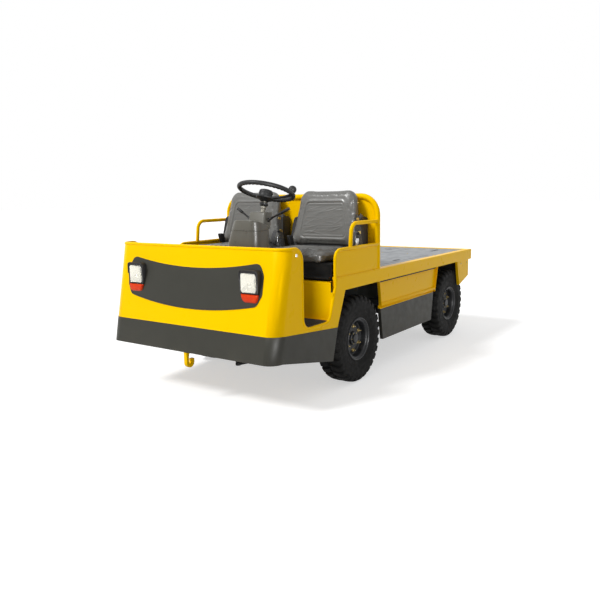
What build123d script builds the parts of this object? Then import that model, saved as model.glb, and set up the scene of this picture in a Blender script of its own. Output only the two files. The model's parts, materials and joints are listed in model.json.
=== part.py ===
"""Electric platform truck: nose and open cab with two seats in front, a flat load deck behind.

Axes: +Z up, the front of the truck towards -Y, its left side towards +X.
Origin: on the floor under the middle of the truck. All lengths are millimetres.
"""
import math
import os

from build123d import *

# Envelope
HALF_WIDTH = 695.0
FRONT_Y = -1490.0
REAR_Y = 1488.0

# Nose: a leaning front between upright sides
SKIRT_FRONT_Z = 315.0
COLOUR_FRONT_Z = 473.0
NOSE_TOP_Z = 966.0
NOSE_LEAN = 125.0
NOSE_CORNER_R = 84.0
SHEET = 4.0
SHEET_INSET = 4.0
SKIRT_INSET = 2.0
OVERRUN = 20.0
NOSE_REACH = 60.0
UPRIGHT_SHARE = 0.5

# Front wheel arch edge, from the deck rail down to the skirt's foot
ARCH_TOP_Y = -719.0
ARCH_MID_Y = -816.0
ARCH_MID_Z = 424.0
ARCH_FOOT_Y = -874.0
ARCH_FOOT_Z = 215.0

# Edge tube that rims the nose, the step-through and the side panels
RIM_TUBE_R = 11.0
OPENING_FRONT_Y = -1194.0
SILL_Z = 468.0
SILL_REAR_Y = -905.0
PANEL_FRONT_Y = -829.0
PANEL_FOOT_Z = 690.0
PANEL_TOP_Z = 924.0
OPENING_TOP_R = 70.0
SILL_FRONT_R = 75.0
SILL_REAR_R = 60.0
PANEL_FOOT_R = 100.0
PANEL_TOP_R = 60.0

# Deck rails
RAIL_TOP_Z = 740.0
RAIL_BOTTOM_Z = 652.0
RAIL_DEPTH = 50.0
RAIL_SEAM = 0.5

# Grey trim panel and lamps on the front
TRIM_T = 3.0
TRIM_TOP_HALF_W = 528.0
TRIM_SHOULDER_OUT = 36.0
TRIM_HALF_W = TRIM_TOP_HALF_W + TRIM_SHOULDER_OUT
TRIM_TOP_Z = 880.0
TRIM_TOP_SAG = 50.0
TRIM_SHOULDER_Z = 812.0
TRIM_FOOT_Z = 634.0
TRIM_FOOT_SAG = 54.0
TRIM_HIP_Z = 700.0
TRIM_CORNER_R = 45.0
LAMP_IN = 216.0
LAMP_X = HALF_WIDTH - LAMP_IN
LAMP_Z = 764.0
LAMP_W = 139.0
LAMP_H = 121.0
LAMP_FRAME = 5.0
LAMP_OUT = 30.0
LAMP_R = 22.0
LENS_OUT = 4.0
LENS_SEAT = 14.0
INDICATOR_H = 44.0
INDICATOR_GAP = 8.0
INDICATOR_R = 8.0
LAMP_FIT = 0.5

# Cab floor and seat base
FLOOR_T = 8.0
FLOOR_TOP_Z = 472.0
MAT_T = 4.0
MAT_MARGIN = 18.0
RISER_Y = -865.0
RISER_TOP_Z = 714.0
RISER_FLANGE = 62.0
SEAT_BOX_FRONT_Y = -800.0
SEAT_BOX_TOP_Z = 822.0
SEAT_BOX_LOW_Z = 640.0
SEAT_BOX_GAP = 5.0
LEDGE_Z = 728.0
LEDGE_H = 12.0
LEDGE_OUT = 46.0

# Seats
SEAT_X = 332.0
CUSHION_W = 480.0
CUSHION_T = 86.0
CUSHION_FRONT_Y = -822.0
CUSHION_REAR_Y = -434.0
CUSHION_R = 55.0
CUSHION_EDGE_R = 26.0
SOFT_GAP = 0.3
BACK_W = 488.0
BACK_TOP_W = 446.0
BACK_T = 72.0
BACK_H = 372.0
BACK_FOOT_Y = -440.0
BACK_LEAN_DEG = 5.5
BACK_R = 60.0
BACK_EDGE_R = 22.0
BACK_LIFT = 4.0
SHELL_T = 6.0
SHELL_H = 272.0
SHELL_W = 596.0
SHELL_TOP_W = 510.0
SHELL_R = 22.0

# Bulkhead behind the seats
BULKHEAD_Y = -264.0
BULKHEAD_TOP_Z = 1260.0
BULKHEAD_TUBE_R = 20.0
BULKHEAD_CORNER_R = 130.0
BULKHEAD_SHEET = 3.0

# Grab rails over the side panels
GRAB_R = 13.0
GRAB_FOOT_Y = -636.0
GRAB_BEND_Y = -618.0
GRAB_TOP_Z = 1083.0
GRAB_BEND_R = 62.0
GRAB_INSET = 3.0

# Steering column, tilted towards the driver
WHEEL_X = 300.0
WHEEL_Y = -1015.0
WHEEL_Z = 1282.0
COLUMN_TILT_DEG = 19.0
STEER_RING_R = 170.0
STEER_GRIP_R = 14.5
SPOKE_W = 34.0
SPOKE_T = 10.0
SPOKE_TURNS_DEG = (35, -145, -55)
HUB_R = 40.0
HUB_H = 36.0
HUB_DROP = 22.0
HUB_CAP_R = 35.0
HUB_CAP_H = 25.0
HUB_CAP_ROUND = 15.0
KNOB_R = 25.0
KNOB_STEM_R = 6.0
KNOB_STEM_H = 26.0
KNOB_TURN_DEG = 59.0
SHAFT_R = 20.0
SHAFT_END = 190.0
SHROUD_TOP = 122.0
SHROUD_W = 165.0
SHROUD_D = 120.0
SHROUD_R = 26.0
CONSOLE_W = 212.0
CONSOLE_FRONT_Y = -1290.0
CONSOLE_REAR_Y = -1078.0
CONSOLE_R = 62.0
CONSOLE_TOP_Z = 1089.0
CONSOLE_TILT_DEG = 15.0
COWL_LIP = 4.0
COWL_H = 92.0
COWL_SEAM = 0.3
RUNNING_FIT = 0.05
LEVER_R = 6.0
LEVER_GRIP_R = 9.0
LEVER_GRIP_SHARE = 0.6
LEVER_Y = -1080.0
LEVER_FOOT_Z = 1118.0
LEVER_TIP_Z = 1178.0
# Foot and tip of each lever across the truck
LEVER_SPANS = ((381.0, 521.0), (214.0, 120.0))

# Pedals
PEDAL_W = 70.0
PEDAL_H = 90.0
PEDAL_T = 10.0
PEDAL_STEM_R = 8.0
PEDAL_BACK = 160.0
PEDAL_Y = FRONT_Y + PEDAL_BACK
PEDAL_LIFT = 60.0

# Chassis
CHASSIS_RAIL_X = 230.0
CHASSIS_RAIL_W = 60.0
CHASSIS_RAIL_H = 80.0
CHASSIS_FRONT_Y = -1400.0
CHASSIS_REAR_Y = 1410.0
CROSS_W = 60.0
PLATE_GAP = 1.0

# Wheels
TYRE_R = 295.0
TYRE_HALF_W = 84.0
TREAD_HALF_W = 67.0
SHOULDER_DROP = 26.0
SHOULDER_IN = 3.0
WIDEST_DROP = 66.0
LOW_WALL_DROP = 120.0
LOW_WALL_IN = 6.0
BEAD_R = 127.0
BEAD_HALF_W = 66.5
BEAD_H = 14.0
RIM_FLANGE_R = 140.0
RIM_FLANGE_T = 6.0
RIM_WALL = 7.0
RIM_FIT = 0.3
DISC_OUT = 12.0
DISC_T = 9.0
HUB_BORE_R = 22.0
WHEEL_HUB_R = 46.0
WHEEL_HUB_IN = 48.0
WHEEL_HUB_OUT = 42.0
WHEEL_CAP_R = 32.0
WHEEL_CAP_H = 14.0
SPINDLE_END_GAP = 4.0
NUT_R = 11.0
NUT_H = 14.0
NUT_PCD = 165.0
NUT_COUNT = 6
NUT_SIDES = 6
FRONT_AXLE_Y = -541.0
REAR_AXLE_Y = 1079.0
REAR_TYRE_IN = 31.0
FRONT_TRACK_X = HALF_WIDTH - TYRE_HALF_W
REAR_TRACK_X = HALF_WIDTH - TYRE_HALF_W - REAR_TYRE_IN

# Front axle and steering linkage
KINGPIN_OFFSET = 110.0
KINGPIN_X = FRONT_TRACK_X - KINGPIN_OFFSET
KINGPIN_R = 14.0
EYE_R = 28.0
EYE_H = 66.0
AXLE_BEAM_W = 56.0
AXLE_BEAM_H = 50.0
EAR_T = 20.0
EAR_GAP = 7.0
YOKE_REACH = 34.0
YOKE_T = 18.0
ARM_W = 24.0
ARM_T = 16.0
BALL_PIN_R = 8.0
ROD_EYE_R = 17.0
ROD_EYE_H = 16.0
ROD_R = 10.0
ROD_GAP = 6.0
TIE_ARM_Y = 135.0
DRAG_ARM_X = -60.0
DRAG_ARM_Y = -115.0
GEAR_X = 300.0
GEAR_Y = -1150.0
GEAR_W = 76.0
GEAR_L = 90.0
SECTOR_R = 12.0

# Leaf springs
SPRING_X = 325.0
SPRING_W = 50.0
LEAF_T = 9.0
LEAF_COUNT = 4
LEAF_TAPER_SHARE = 0.8
SPRING_HALF_L = 330.0
SPRING_RISE = 52.0
SPRING_EYE_R = 16.0

# Rear axle and motor
AXLE_TUBE_R = 40.0
DIFF_R = 108.0
DIFF_HALF_W = 95.0
DRUM_R = 104.0
DRUM_W = 60.0
MOTOR_R = 84.0
MOTOR_L = 180.0

# Battery and side panels
BATTERY_HALF_W = 440.0
BATTERY_FRONT_Y = -140.0
BATTERY_REAR_Y = 690.0
BATTERY_H = 236.0
PANEL_IN = 40.0
PANEL_LOW_IN = 22.0
PANEL_X = HALF_WIDTH - PANEL_IN
PANEL_LOW_X = HALF_WIDTH - PANEL_LOW_IN
PANEL_SHEET = 4.0
LOWER_PANEL_T = 24.0
UPPER_FRONT_TOP_Y = -226.0
UPPER_FRONT_FOOT_Y = -192.0
UPPER_REAR_TOP_Y = 795.0
UPPER_REAR_FOOT_Y = 742.0
LEDGE_LINE_Z = 464.0
LOWER_TOP_Z = 446.0
LOWER_FOOT_Z = 219.0
LOWER_FRONT_TOP_Y = -212.0
LOWER_FRONT_FOOT_Y = -174.0
LOWER_REAR_TOP_Y = 700.0
LOWER_REAR_FOOT_Y = 664.0
OUTRIGGER_H = 50.0
OUTRIGGER_W = 50.0
OUTRIGGER_Y_SHARES = (0.12, 0.5, 0.88)

# Deck plates and lids
DECK_T = 5.0
DECK_DROP = 4.0
STRIP_HALF_W = 18.0
LID_HINGE_X = 30.0
LID_EDGE = 8.0
LID_OUTER_IN = 135.0
LID_OUTER_X = HALF_WIDTH - LID_OUTER_IN
LID_FRONT_Y = -150.0
LID_REAR_Y = 840.0
LID_GAP = 6.0
LID_REST = 0.3
SLOT_L = 120.0
SLOT_W = 26.0
SLOT_INSET = 45.0
SLOT_R = 8.0
HINGE_R = 6.0
HINGE_PIN_R = 3.0
HINGE_L = 60.0
HINGE_END = 30.0
HINGE_Y_SHARES = (0.15, 0.85)
DECK_BEAM_H = 60.0

# Rear corner guards and rear end
GUARD_T = 4.0
GUARD_RETURN = 22.0
GUARD_FRONT_Y = 1170.0
GUARD_TIP_Y = 1221.0
GUARD_TIP_Z = 440.0
GUARD_REAR_Y = 1431.0
GUARD_REAR_Z = 506.0
TAIL_W = 110.0
TAIL_H = 60.0
TAIL_T = 24.0
TAIL_IN = 135.0
TAIL_X = HALF_WIDTH - TAIL_IN
TAIL_R = 12.0
COUPLING_W = 110.0
COUPLING_T = 28.0
COUPLING_MOUTH = 34.0
COUPLING_PLATE_T = 16.0
COUPLING_PIN_R = 15.0
COUPLING_EDGE = 13.0
COUPLING_Z = 330.0

# Front tow hook
HOOK_T = 24.0
HOOK_BAR = 21.0
HOOK_R = 33.0
HOOK_THROAT_R = 12.0
HOOK_TIP = 20.0
HOOK_Y = -1482.0
HOOK_LOW_Z = 213.0
HOOK_NECK_Z = 316.0
HOOK_NECK_LEAN = 17.0
HOOK_FOOT_REAR_Y = -1402.0
HOOK_FOOT_T = 22.0
HOOK_WEB_DROP = 20.0


# Small tools
def block(x0, x1, y0, y1, z0, z1):
    """Box between two corners."""
    middle = Pos((x0 + x1) / 2, (y0 + y1) / 2, (z0 + z1) / 2)
    return middle * Box(abs(x1 - x0), abs(y1 - y0), abs(z1 - z0))


def outline(corners):
    """Flat face through (u, v, radius) corners; a radius of zero leaves a corner sharp."""
    face = make_face(Polyline(*[(u, v) for u, v, _ in corners], close=True))
    for u, v, radius in corners:
        if radius > 0:
            corner = face.vertices().sort_by_distance((u, v, 0))[0]
            face = fillet(corner, radius)
    return face


def across(corners, x0, x1):
    """Side outline of (y, z, radius) corners, carried from x0 to x1."""
    return extrude(Plane.YZ.offset(x0) * outline(corners), amount=x1 - x0, dir=(1, 0, 0))


def along(corners, y0, y1):
    """Front outline of (x, z, radius) corners, carried from y0 to y1."""
    face = Plane((0, y0, 0), x_dir=(1, 0, 0), z_dir=(0, -1, 0)) * outline(corners)
    return extrude(face, amount=y1 - y0, dir=(0, 1, 0))


def upright(corners, z0, z1):
    """Plan outline of (x, y, radius) corners, carried from z0 to z1."""
    return extrude(Pos(0, 0, z0) * outline(corners), amount=z1 - z0, dir=(0, 0, 1))


def rod(start, end, radius):
    """Round bar between two points."""
    axis = Vector(end) - Vector(start)
    foot = Plane(origin=start, z_dir=axis)
    return extrude(foot * Circle(radius), amount=axis.length)


def bent_tube(points, bends, radius):
    """Round bar along straight runs joined by arcs."""
    path = FilletPolyline(*points, radius=bends)
    section = Plane(origin=path @ 0, z_dir=path % 0) * Circle(radius)
    return sweep(section, path=path)


def both_sides(piece):
    """A piece and its mirror image across the middle plane."""
    return [piece, mirror(piece, about=Plane.YZ)]


def front_y(z):
    """Where the leaning front of the envelope is at height z."""
    return FRONT_Y + NOSE_LEAN * (z - SKIRT_FRONT_Z) / (NOSE_TOP_Z - SKIRT_FRONT_Z)


def on_line(value, low, high):
    """Interpolate y at height value between two (y, z) points."""
    share = (value - low[1]) / (high[1] - low[1])
    return low[0] + share * (high[0] - low[0])


def nose_plug(inset, z0, z1, rear_y):
    """Solid inside the nose between two heights, its leaning front corners rounded."""
    low = ARCH_FOOT_Z - NOSE_REACH
    high = NOSE_TOP_Z + NOSE_REACH
    profile = [
        (front_y(low) + inset, low, 0),
        (front_y(high) + inset, high, 0),
        (rear_y, high, 0),
        (rear_y, low, 0),
    ]
    plug = across(profile, inset - HALF_WIDTH, HALF_WIDTH - inset)
    middle_y = (front_y(low) + rear_y) / 2
    corners = [e for e in plug.edges() if abs((e % 0).Z) > UPRIGHT_SHARE and e.center().Y < middle_y]
    plug = fillet(corners, NOSE_CORNER_R - inset)
    width = HALF_WIDTH + OVERRUN
    return plug & block(-width, width, front_y(low) - OVERRUN, rear_y + OVERRUN, z0, z1)


def nose_wall(inset, wall, z0, z1, rear_y):
    """Sheet wall round the front and both sides."""
    outer = nose_plug(inset, z0, z1, rear_y)
    return outer - nose_plug(inset + wall, z0 - OVERRUN, z1 + OVERRUN, rear_y + OVERRUN)


def front_slab(x0, x1, z0, z1, out, back):
    """Leaning slab on the nose front, from out in front of the envelope to back behind it."""
    profile = [
        (front_y(z0) - out, z0, 0),
        (front_y(z1) - out, z1, 0),
        (front_y(z1) + back, z1, 0),
        (front_y(z0) + back, z0, 0),
    ]
    return across(profile, x0, x1)


# Edge tube
RIM_X = HALF_WIDTH - RIM_TUBE_R
RIM_TOP_Z = NOSE_TOP_Z - RIM_TUBE_R
PANEL_RIM_Z = PANEL_TOP_Z - RIM_TUBE_R
BULKHEAD_FRONT_Y = BULKHEAD_Y - BULKHEAD_TUBE_R
NOSE_SIDE_Y = FRONT_Y + NOSE_CORNER_R


def rim_tube():
    """One bent tube: side panel, step-through, nose top and the same again on the other side."""
    nose_y = front_y(RIM_TOP_Z) + RIM_TUBE_R
    left = [
        (RIM_X, BULKHEAD_FRONT_Y, PANEL_RIM_Z),
        (RIM_X, PANEL_FRONT_Y, PANEL_RIM_Z),
        (RIM_X, PANEL_FRONT_Y, PANEL_FOOT_Z),
        (RIM_X, SILL_REAR_Y, SILL_Z),
        (RIM_X, OPENING_FRONT_Y, SILL_Z),
        (RIM_X, OPENING_FRONT_Y, RIM_TOP_Z),
        (RIM_X, nose_y, RIM_TOP_Z),
    ]
    right = [(-x, y, z) for x, y, z in reversed(left)]
    bends = [PANEL_TOP_R, PANEL_FOOT_R, SILL_REAR_R, SILL_FRONT_R, OPENING_TOP_R]
    corner = NOSE_CORNER_R - RIM_TUBE_R
    return bent_tube(left + right, bends + [corner, corner] + bends[::-1], RIM_TUBE_R)


RIM_TUBE = rim_tube()


# Nose and skirt
def nose_shell():
    """Yellow sheet of the nose, cut by the step-through and the wheel arch."""
    rail_y = on_line(RAIL_BOTTOM_Z, (SILL_REAR_Y, SILL_Z), (PANEL_FRONT_Y, PANEL_FOOT_Z))
    side = [
        (FRONT_Y - OVERRUN, COLOUR_FRONT_Z, 0),
        (NOSE_SIDE_Y, COLOUR_FRONT_Z, 0),
        (ARCH_MID_Y, ARCH_MID_Z, 0),
        (ARCH_TOP_Y, RAIL_BOTTOM_Z, 0),
        (rail_y, RAIL_BOTTOM_Z, 0),
        (SILL_REAR_Y, SILL_Z, SILL_REAR_R),
        (OPENING_FRONT_Y, SILL_Z, SILL_FRONT_R),
        (OPENING_FRONT_Y, RIM_TOP_Z, OPENING_TOP_R),
        (FRONT_Y - OVERRUN, RIM_TOP_Z, 0),
    ]
    wall = nose_wall(SHEET_INSET, SHEET, ARCH_MID_Z, NOSE_TOP_Z, ARCH_TOP_Y)
    return (wall & across(side, -HALF_WIDTH, HALF_WIDTH)) - RIM_TUBE


def nose_skirt():
    """Grey lower band; its foot drops towards the wheel."""
    side = [
        (FRONT_Y - OVERRUN, SKIRT_FRONT_Z, 0),
        (NOSE_SIDE_Y, SKIRT_FRONT_Z, 0),
        (ARCH_FOOT_Y, ARCH_FOOT_Z, 0),
        (ARCH_MID_Y, ARCH_MID_Z, 0),
        (NOSE_SIDE_Y, COLOUR_FRONT_Z, 0),
        (FRONT_Y - OVERRUN, COLOUR_FRONT_Z, 0),
    ]
    wall = nose_wall(SKIRT_INSET, SHEET, ARCH_FOOT_Z, COLOUR_FRONT_Z, ARCH_MID_Y)
    return (wall & across(side, -HALF_WIDTH, HALF_WIDTH)) - RIM_TUBE


def front_trim():
    """Grey trim panel with a sagging top and foot, laid on the leaning front."""
    right_half = [
        (TRIM_TOP_HALF_W, TRIM_TOP_Z),
        (TRIM_HALF_W, TRIM_SHOULDER_Z),
        (TRIM_HALF_W, TRIM_HIP_Z),
        (TRIM_TOP_HALF_W, TRIM_FOOT_Z),
    ]
    left_half = [(-x, z) for x, z in reversed(right_half)]
    edges = [
        Polyline(*right_half),
        ThreePointArc(right_half[-1], (0, TRIM_FOOT_Z - TRIM_FOOT_SAG), left_half[0]),
        Polyline(*left_half),
        ThreePointArc(left_half[-1], (0, TRIM_TOP_Z - TRIM_TOP_SAG), right_half[0]),
    ]
    face = make_face(edges)
    face = fillet(face.vertices(), TRIM_CORNER_R)
    plane = Plane((0, FRONT_Y - OVERRUN, 0), x_dir=(1, 0, 0), z_dir=(0, -1, 0))
    column = extrude(plane * face, amount=NOSE_LEAN + OVERRUN + OVERRUN, dir=(0, 1, 0))
    slab = front_slab(
        -HALF_WIDTH, HALF_WIDTH, COLOUR_FRONT_Z, NOSE_TOP_Z, TRIM_T - SHEET_INSET, SHEET_INSET
    )
    return column & slab


def rounded_rect(x, z, width, height, radius):
    """Corners of an upright rounded rectangle about (x, z)."""
    return [
        (x + width / 2, z + height / 2, radius),
        (x + width / 2, z - height / 2, radius),
        (x - width / 2, z - height / 2, radius),
        (x - width / 2, z + height / 2, radius),
    ]


def lamp_piece(z, width, height, radius, out, back):
    """Rounded block on the left of the nose front, at lamp height z."""
    corners = rounded_rect(LAMP_X, z, width, height, radius)
    column = along(corners, FRONT_Y - LAMP_OUT - OVERRUN, FRONT_Y + NOSE_LEAN + OVERRUN)
    half = HALF_WIDTH
    return column & front_slab(0, half, COLOUR_FRONT_Z, NOSE_TOP_Z, out, back)


INDICATOR_Z = LAMP_Z - LAMP_H / 2 - INDICATOR_GAP - INDICATOR_H / 2
HOUSING_TOP = LAMP_Z + LAMP_H / 2 + LAMP_FRAME
HOUSING_FOOT = INDICATOR_Z - INDICATOR_H / 2 - LAMP_FRAME
TRIM_FACE = SHEET_INSET - TRIM_T


def lamp_housing():
    """Black lamp housing with a pocket for each lens."""
    height = HOUSING_TOP - HOUSING_FOOT
    middle = (HOUSING_TOP + HOUSING_FOOT) / 2
    body = lamp_piece(middle, LAMP_W + 2 * LAMP_FRAME, height, LAMP_R, LAMP_OUT, TRIM_FACE)
    pocket = LAMP_OUT - LENS_SEAT
    for z, tall, radius in ((LAMP_Z, LAMP_H, LAMP_R), (INDICATOR_Z, INDICATOR_H, INDICATOR_R)):
        body -= lamp_piece(z, LAMP_W, tall, radius, LAMP_OUT + OVERRUN, -pocket)
    return body


def lens(z, height, radius):
    """Lens seated in its pocket."""
    pocket = LAMP_OUT - LENS_SEAT
    width = LAMP_W - 2 * LAMP_FIT
    return lamp_piece(z, width, height - 2 * LAMP_FIT, radius - LAMP_FIT, LAMP_OUT + LENS_OUT, -pocket)


# Cab floor, riser and seat base
SHEET_INNER = SHEET_INSET + SHEET
SEAT_BASE_HALF_W = HALF_WIDTH - RAIL_DEPTH - SEAT_BOX_GAP


def cab_floor():
    """Floor plate that fills the nose from wall to wall."""
    plate = nose_plug(SHEET_INNER, FLOOR_TOP_Z - FLOOR_T, FLOOR_TOP_Z, RISER_Y + SHEET)
    return plate - RIM_TUBE


def floor_mat():
    """Ribbed rubber mat on the floor, clear of the steering console."""
    inset = SHEET_INNER + MAT_MARGIN
    mat = nose_plug(inset, FLOOR_TOP_Z, FLOOR_TOP_Z + MAT_T, RISER_Y - MAT_MARGIN)
    return mat - console_body(MAT_T)


def seat_riser():
    """Upright sheet under the seats with a flange on top."""
    wide = HALF_WIDTH - SHEET_INNER
    narrow = RIM_X - RIM_TUBE_R - PLATE_GAP
    corners = [
        (wide, FLOOR_TOP_Z, 0),
        (wide, RAIL_BOTTOM_Z, 0),
        (narrow, RAIL_BOTTOM_Z, 0),
        (narrow, RISER_TOP_Z, 0),
        (-narrow, RISER_TOP_Z, 0),
        (-narrow, RAIL_BOTTOM_Z, 0),
        (-wide, RAIL_BOTTOM_Z, 0),
        (-wide, FLOOR_TOP_Z, 0),
    ]
    sheet = along(corners, RISER_Y, RISER_Y + SHEET)
    half = SEAT_BASE_HALF_W
    top = block(-half, half, RISER_Y, RISER_Y + RISER_FLANGE, RISER_TOP_Z - SHEET, RISER_TOP_Z)
    return sheet + top - RIM_TUBE


def seat_box():
    """Black box that carries both seats, with a ledge along its front."""
    half = SEAT_BASE_HALF_W
    back = BULKHEAD_FRONT_Y
    upper = block(-half, half, SEAT_BOX_FRONT_Y, back, RISER_TOP_Z, SEAT_BOX_TOP_Z)
    lower = block(-half, half, RISER_Y + SHEET, back, SEAT_BOX_LOW_Z, RISER_TOP_Z - SHEET)
    waist_y = RISER_Y + RISER_FLANGE
    waist = block(-half, half, waist_y, back, RISER_TOP_Z - SHEET, RISER_TOP_Z)
    ledge = block(
        -half, half, SEAT_BOX_FRONT_Y - LEDGE_OUT, SEAT_BOX_FRONT_Y, LEDGE_Z, LEDGE_Z + LEDGE_H
    )
    return upper + lower + waist + ledge


# Seats
def seat_cushion():
    """Left seat cushion, rounded in plan and along its upper edge."""
    half = CUSHION_W / 2
    low = SEAT_BOX_TOP_Z + SOFT_GAP
    corners = [
        (SEAT_X + half, CUSHION_FRONT_Y, CUSHION_R),
        (SEAT_X + half, CUSHION_REAR_Y, CUSHION_R),
        (SEAT_X - half, CUSHION_REAR_Y, CUSHION_R),
        (SEAT_X - half, CUSHION_FRONT_Y, CUSHION_R),
    ]
    pad = upright(corners, low, low + CUSHION_T)
    return fillet(pad.faces().sort_by(Axis.Z)[-1].edges(), CUSHION_EDGE_R)


BACK_PLANE = Plane(
    origin=(SEAT_X, BACK_FOOT_Y, SEAT_BOX_TOP_Z + SOFT_GAP + CUSHION_T + BACK_LIFT),
    x_dir=(1, 0, 0),
    z_dir=(0, -math.cos(math.radians(BACK_LEAN_DEG)), math.sin(math.radians(BACK_LEAN_DEG))),
)


def backrest():
    """Left backrest: a leaning pad, narrower at the top."""
    foot = BACK_W / 2
    head = BACK_TOP_W / 2
    corners = [
        (foot, 0, BACK_R / 2),
        (head, BACK_H, BACK_R),
        (-head, BACK_H, BACK_R),
        (-foot, 0, BACK_R / 2),
    ]
    pad = extrude(BACK_PLANE * outline(corners), amount=-BACK_T)
    front = pad.faces().sort_by(Axis.Y)[0]
    return fillet(front.edges(), BACK_EDGE_R)


def seat_shell():
    """Black moulded shell behind the left backrest, with side wings that taper upwards."""
    half = BACK_W / 2 + SOFT_GAP
    start = SEAT_BOX_TOP_Z
    lean = math.radians(BACK_LEAN_DEG)
    rise = SHELL_H - CUSHION_T - BACK_LIFT - SOFT_GAP
    rear = BACK_FOOT_Y + (BACK_T + rise * math.sin(lean)) / math.cos(lean) + SOFT_GAP
    top = start + SHELL_H
    corners = [
        (SEAT_X + SHELL_W / 2, start, 0),
        (SEAT_X + SHELL_TOP_W / 2, top, SHELL_R),
        (SEAT_X - SHELL_TOP_W / 2, top, SHELL_R),
        (SEAT_X - SHELL_W / 2, start, 0),
    ]
    shell = along(corners, BACK_FOOT_Y, rear + SHELL_T)
    pocket = block(
        SEAT_X - half, SEAT_X + half, BACK_FOOT_Y - OVERRUN, rear, start - OVERRUN, top + OVERRUN
    )
    return shell - pocket


# Bulkhead, side panels and grab rails
BULKHEAD_X = HALF_WIDTH - BULKHEAD_TUBE_R


def bulkhead_tube():
    """Hoop of tube that stands on the deck rails."""
    top = BULKHEAD_TOP_Z - BULKHEAD_TUBE_R
    points = [
        (BULKHEAD_X, BULKHEAD_Y, RAIL_TOP_Z),
        (BULKHEAD_X, BULKHEAD_Y, top),
        (-BULKHEAD_X, BULKHEAD_Y, top),
        (-BULKHEAD_X, BULKHEAD_Y, RAIL_TOP_Z),
    ]
    return bent_tube(points, [BULKHEAD_CORNER_R, BULKHEAD_CORNER_R], BULKHEAD_TUBE_R)


BULKHEAD_TUBE = bulkhead_tube()


def bulkhead_sheet():
    """Sheet that fills the hoop."""
    top = BULKHEAD_TOP_Z - BULKHEAD_TUBE_R
    corners = [
        (BULKHEAD_X, RAIL_TOP_Z, 0),
        (BULKHEAD_X, top, BULKHEAD_CORNER_R),
        (-BULKHEAD_X, top, BULKHEAD_CORNER_R),
        (-BULKHEAD_X, RAIL_TOP_Z, 0),
    ]
    half = BULKHEAD_SHEET / 2
    return along(corners, BULKHEAD_Y - half, BULKHEAD_Y + half) - BULKHEAD_TUBE


def side_panel():
    """Left side panel between the edge tube, the deck rail and the bulkhead."""
    corners = [
        (PANEL_FRONT_Y, RAIL_TOP_Z, 0),
        (PANEL_FRONT_Y, PANEL_RIM_Z, PANEL_TOP_R),
        (BULKHEAD_Y, PANEL_RIM_Z, 0),
        (BULKHEAD_Y, RAIL_TOP_Z, 0),
    ]
    sheet = across(corners, RIM_X - SHEET / 2, RIM_X + SHEET / 2)
    return sheet - RIM_TUBE - BULKHEAD_TUBE


def grab_rail():
    """Left grab rail: up from the side panel, then back to the bulkhead hoop."""
    x = HALF_WIDTH - GRAB_R - GRAB_INSET
    top = GRAB_TOP_Z - GRAB_R
    points = [(x, GRAB_FOOT_Y, PANEL_RIM_Z), (x, GRAB_BEND_Y, top), (x, BULKHEAD_Y, top)]
    return bent_tube(points, [GRAB_BEND_R], GRAB_R) - RIM_TUBE


# Steering column
TILT = math.radians(COLUMN_TILT_DEG)
COLUMN_AXIS = (0, math.sin(TILT), math.cos(TILT))


def column_plane(drop):
    """Plane square to the column, drop below the steering wheel's plane."""
    origin = (WHEEL_X, WHEEL_Y - drop * math.sin(TILT), WHEEL_Z - drop * math.cos(TILT))
    return Plane(origin=origin, x_dir=(1, 0, 0), z_dir=COLUMN_AXIS)


def console_body(grow):
    """Upright console before its sloping top is cut; grow widens it."""
    half = CONSOLE_W / 2 + grow
    corners = [
        (WHEEL_X + half, CONSOLE_FRONT_Y - grow, CONSOLE_R),
        (WHEEL_X + half, CONSOLE_REAR_Y + grow, CONSOLE_R),
        (WHEEL_X - half, CONSOLE_REAR_Y + grow, CONSOLE_R),
        (WHEEL_X - half, CONSOLE_FRONT_Y - grow, CONSOLE_R),
    ]
    return upright(corners, FLOOR_TOP_Z, WHEEL_Z)


def console_cut(drop):
    """Everything above the sloping plane, drop below the console's top."""
    middle_y = (CONSOLE_FRONT_Y + CONSOLE_REAR_Y) / 2
    tilt = math.radians(CONSOLE_TILT_DEG)
    plane = Plane(origin=(WHEEL_X, middle_y, CONSOLE_TOP_Z - drop), z_dir=(0, math.sin(tilt), math.cos(tilt)))
    return extrude(plane * Circle(CONSOLE_W * 2), amount=CONSOLE_TOP_Z)


def steering_console():
    """Lower console, from the floor to the seam, a little narrower than the cowl above."""
    return console_body(-COWL_LIP) - console_cut(COWL_H)


def steering_cowl():
    """Upper console above the seam, closed by a sloping top."""
    cap = (console_body(0) - console_cut(0)) & console_cut(COWL_H - COWL_SEAM)
    return cap - column_hole()


def column_hole():
    """Running bore for the steering shaft."""
    return extrude(column_plane(SHROUD_TOP - OVERRUN) * Circle(SHAFT_R + RUNNING_FIT), amount=-SHAFT_END)


def column_shroud():
    """Shroud below the steering wheel, down to the console's top."""
    box_face = column_plane(SHROUD_TOP) * RectangleRounded(SHROUD_W, SHROUD_D, SHROUD_R)
    shroud = extrude(box_face, amount=-SHAFT_END)
    return (shroud & console_cut(0)) - column_hole()


SHROUD_PLUG = column_shroud() + extrude(column_plane(SHROUD_TOP) * Circle(SHAFT_R * 2), amount=-SHAFT_END)


def column_levers():
    """Levers with grips, rising out of the shroud's sides."""
    found = []
    for foot_x, tip_x in LEVER_SPANS:
        foot = Vector(foot_x, LEVER_Y, LEVER_FOOT_Z)
        tip = Vector(tip_x, LEVER_Y, LEVER_TIP_Z)
        root = foot - (tip - foot) * LEVER_GRIP_SHARE
        neck = foot + (tip - foot) * LEVER_GRIP_SHARE
        found.append(rod(root, tip, LEVER_R) + rod(neck, tip, LEVER_GRIP_R) - SHROUD_PLUG)
    return found


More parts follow.
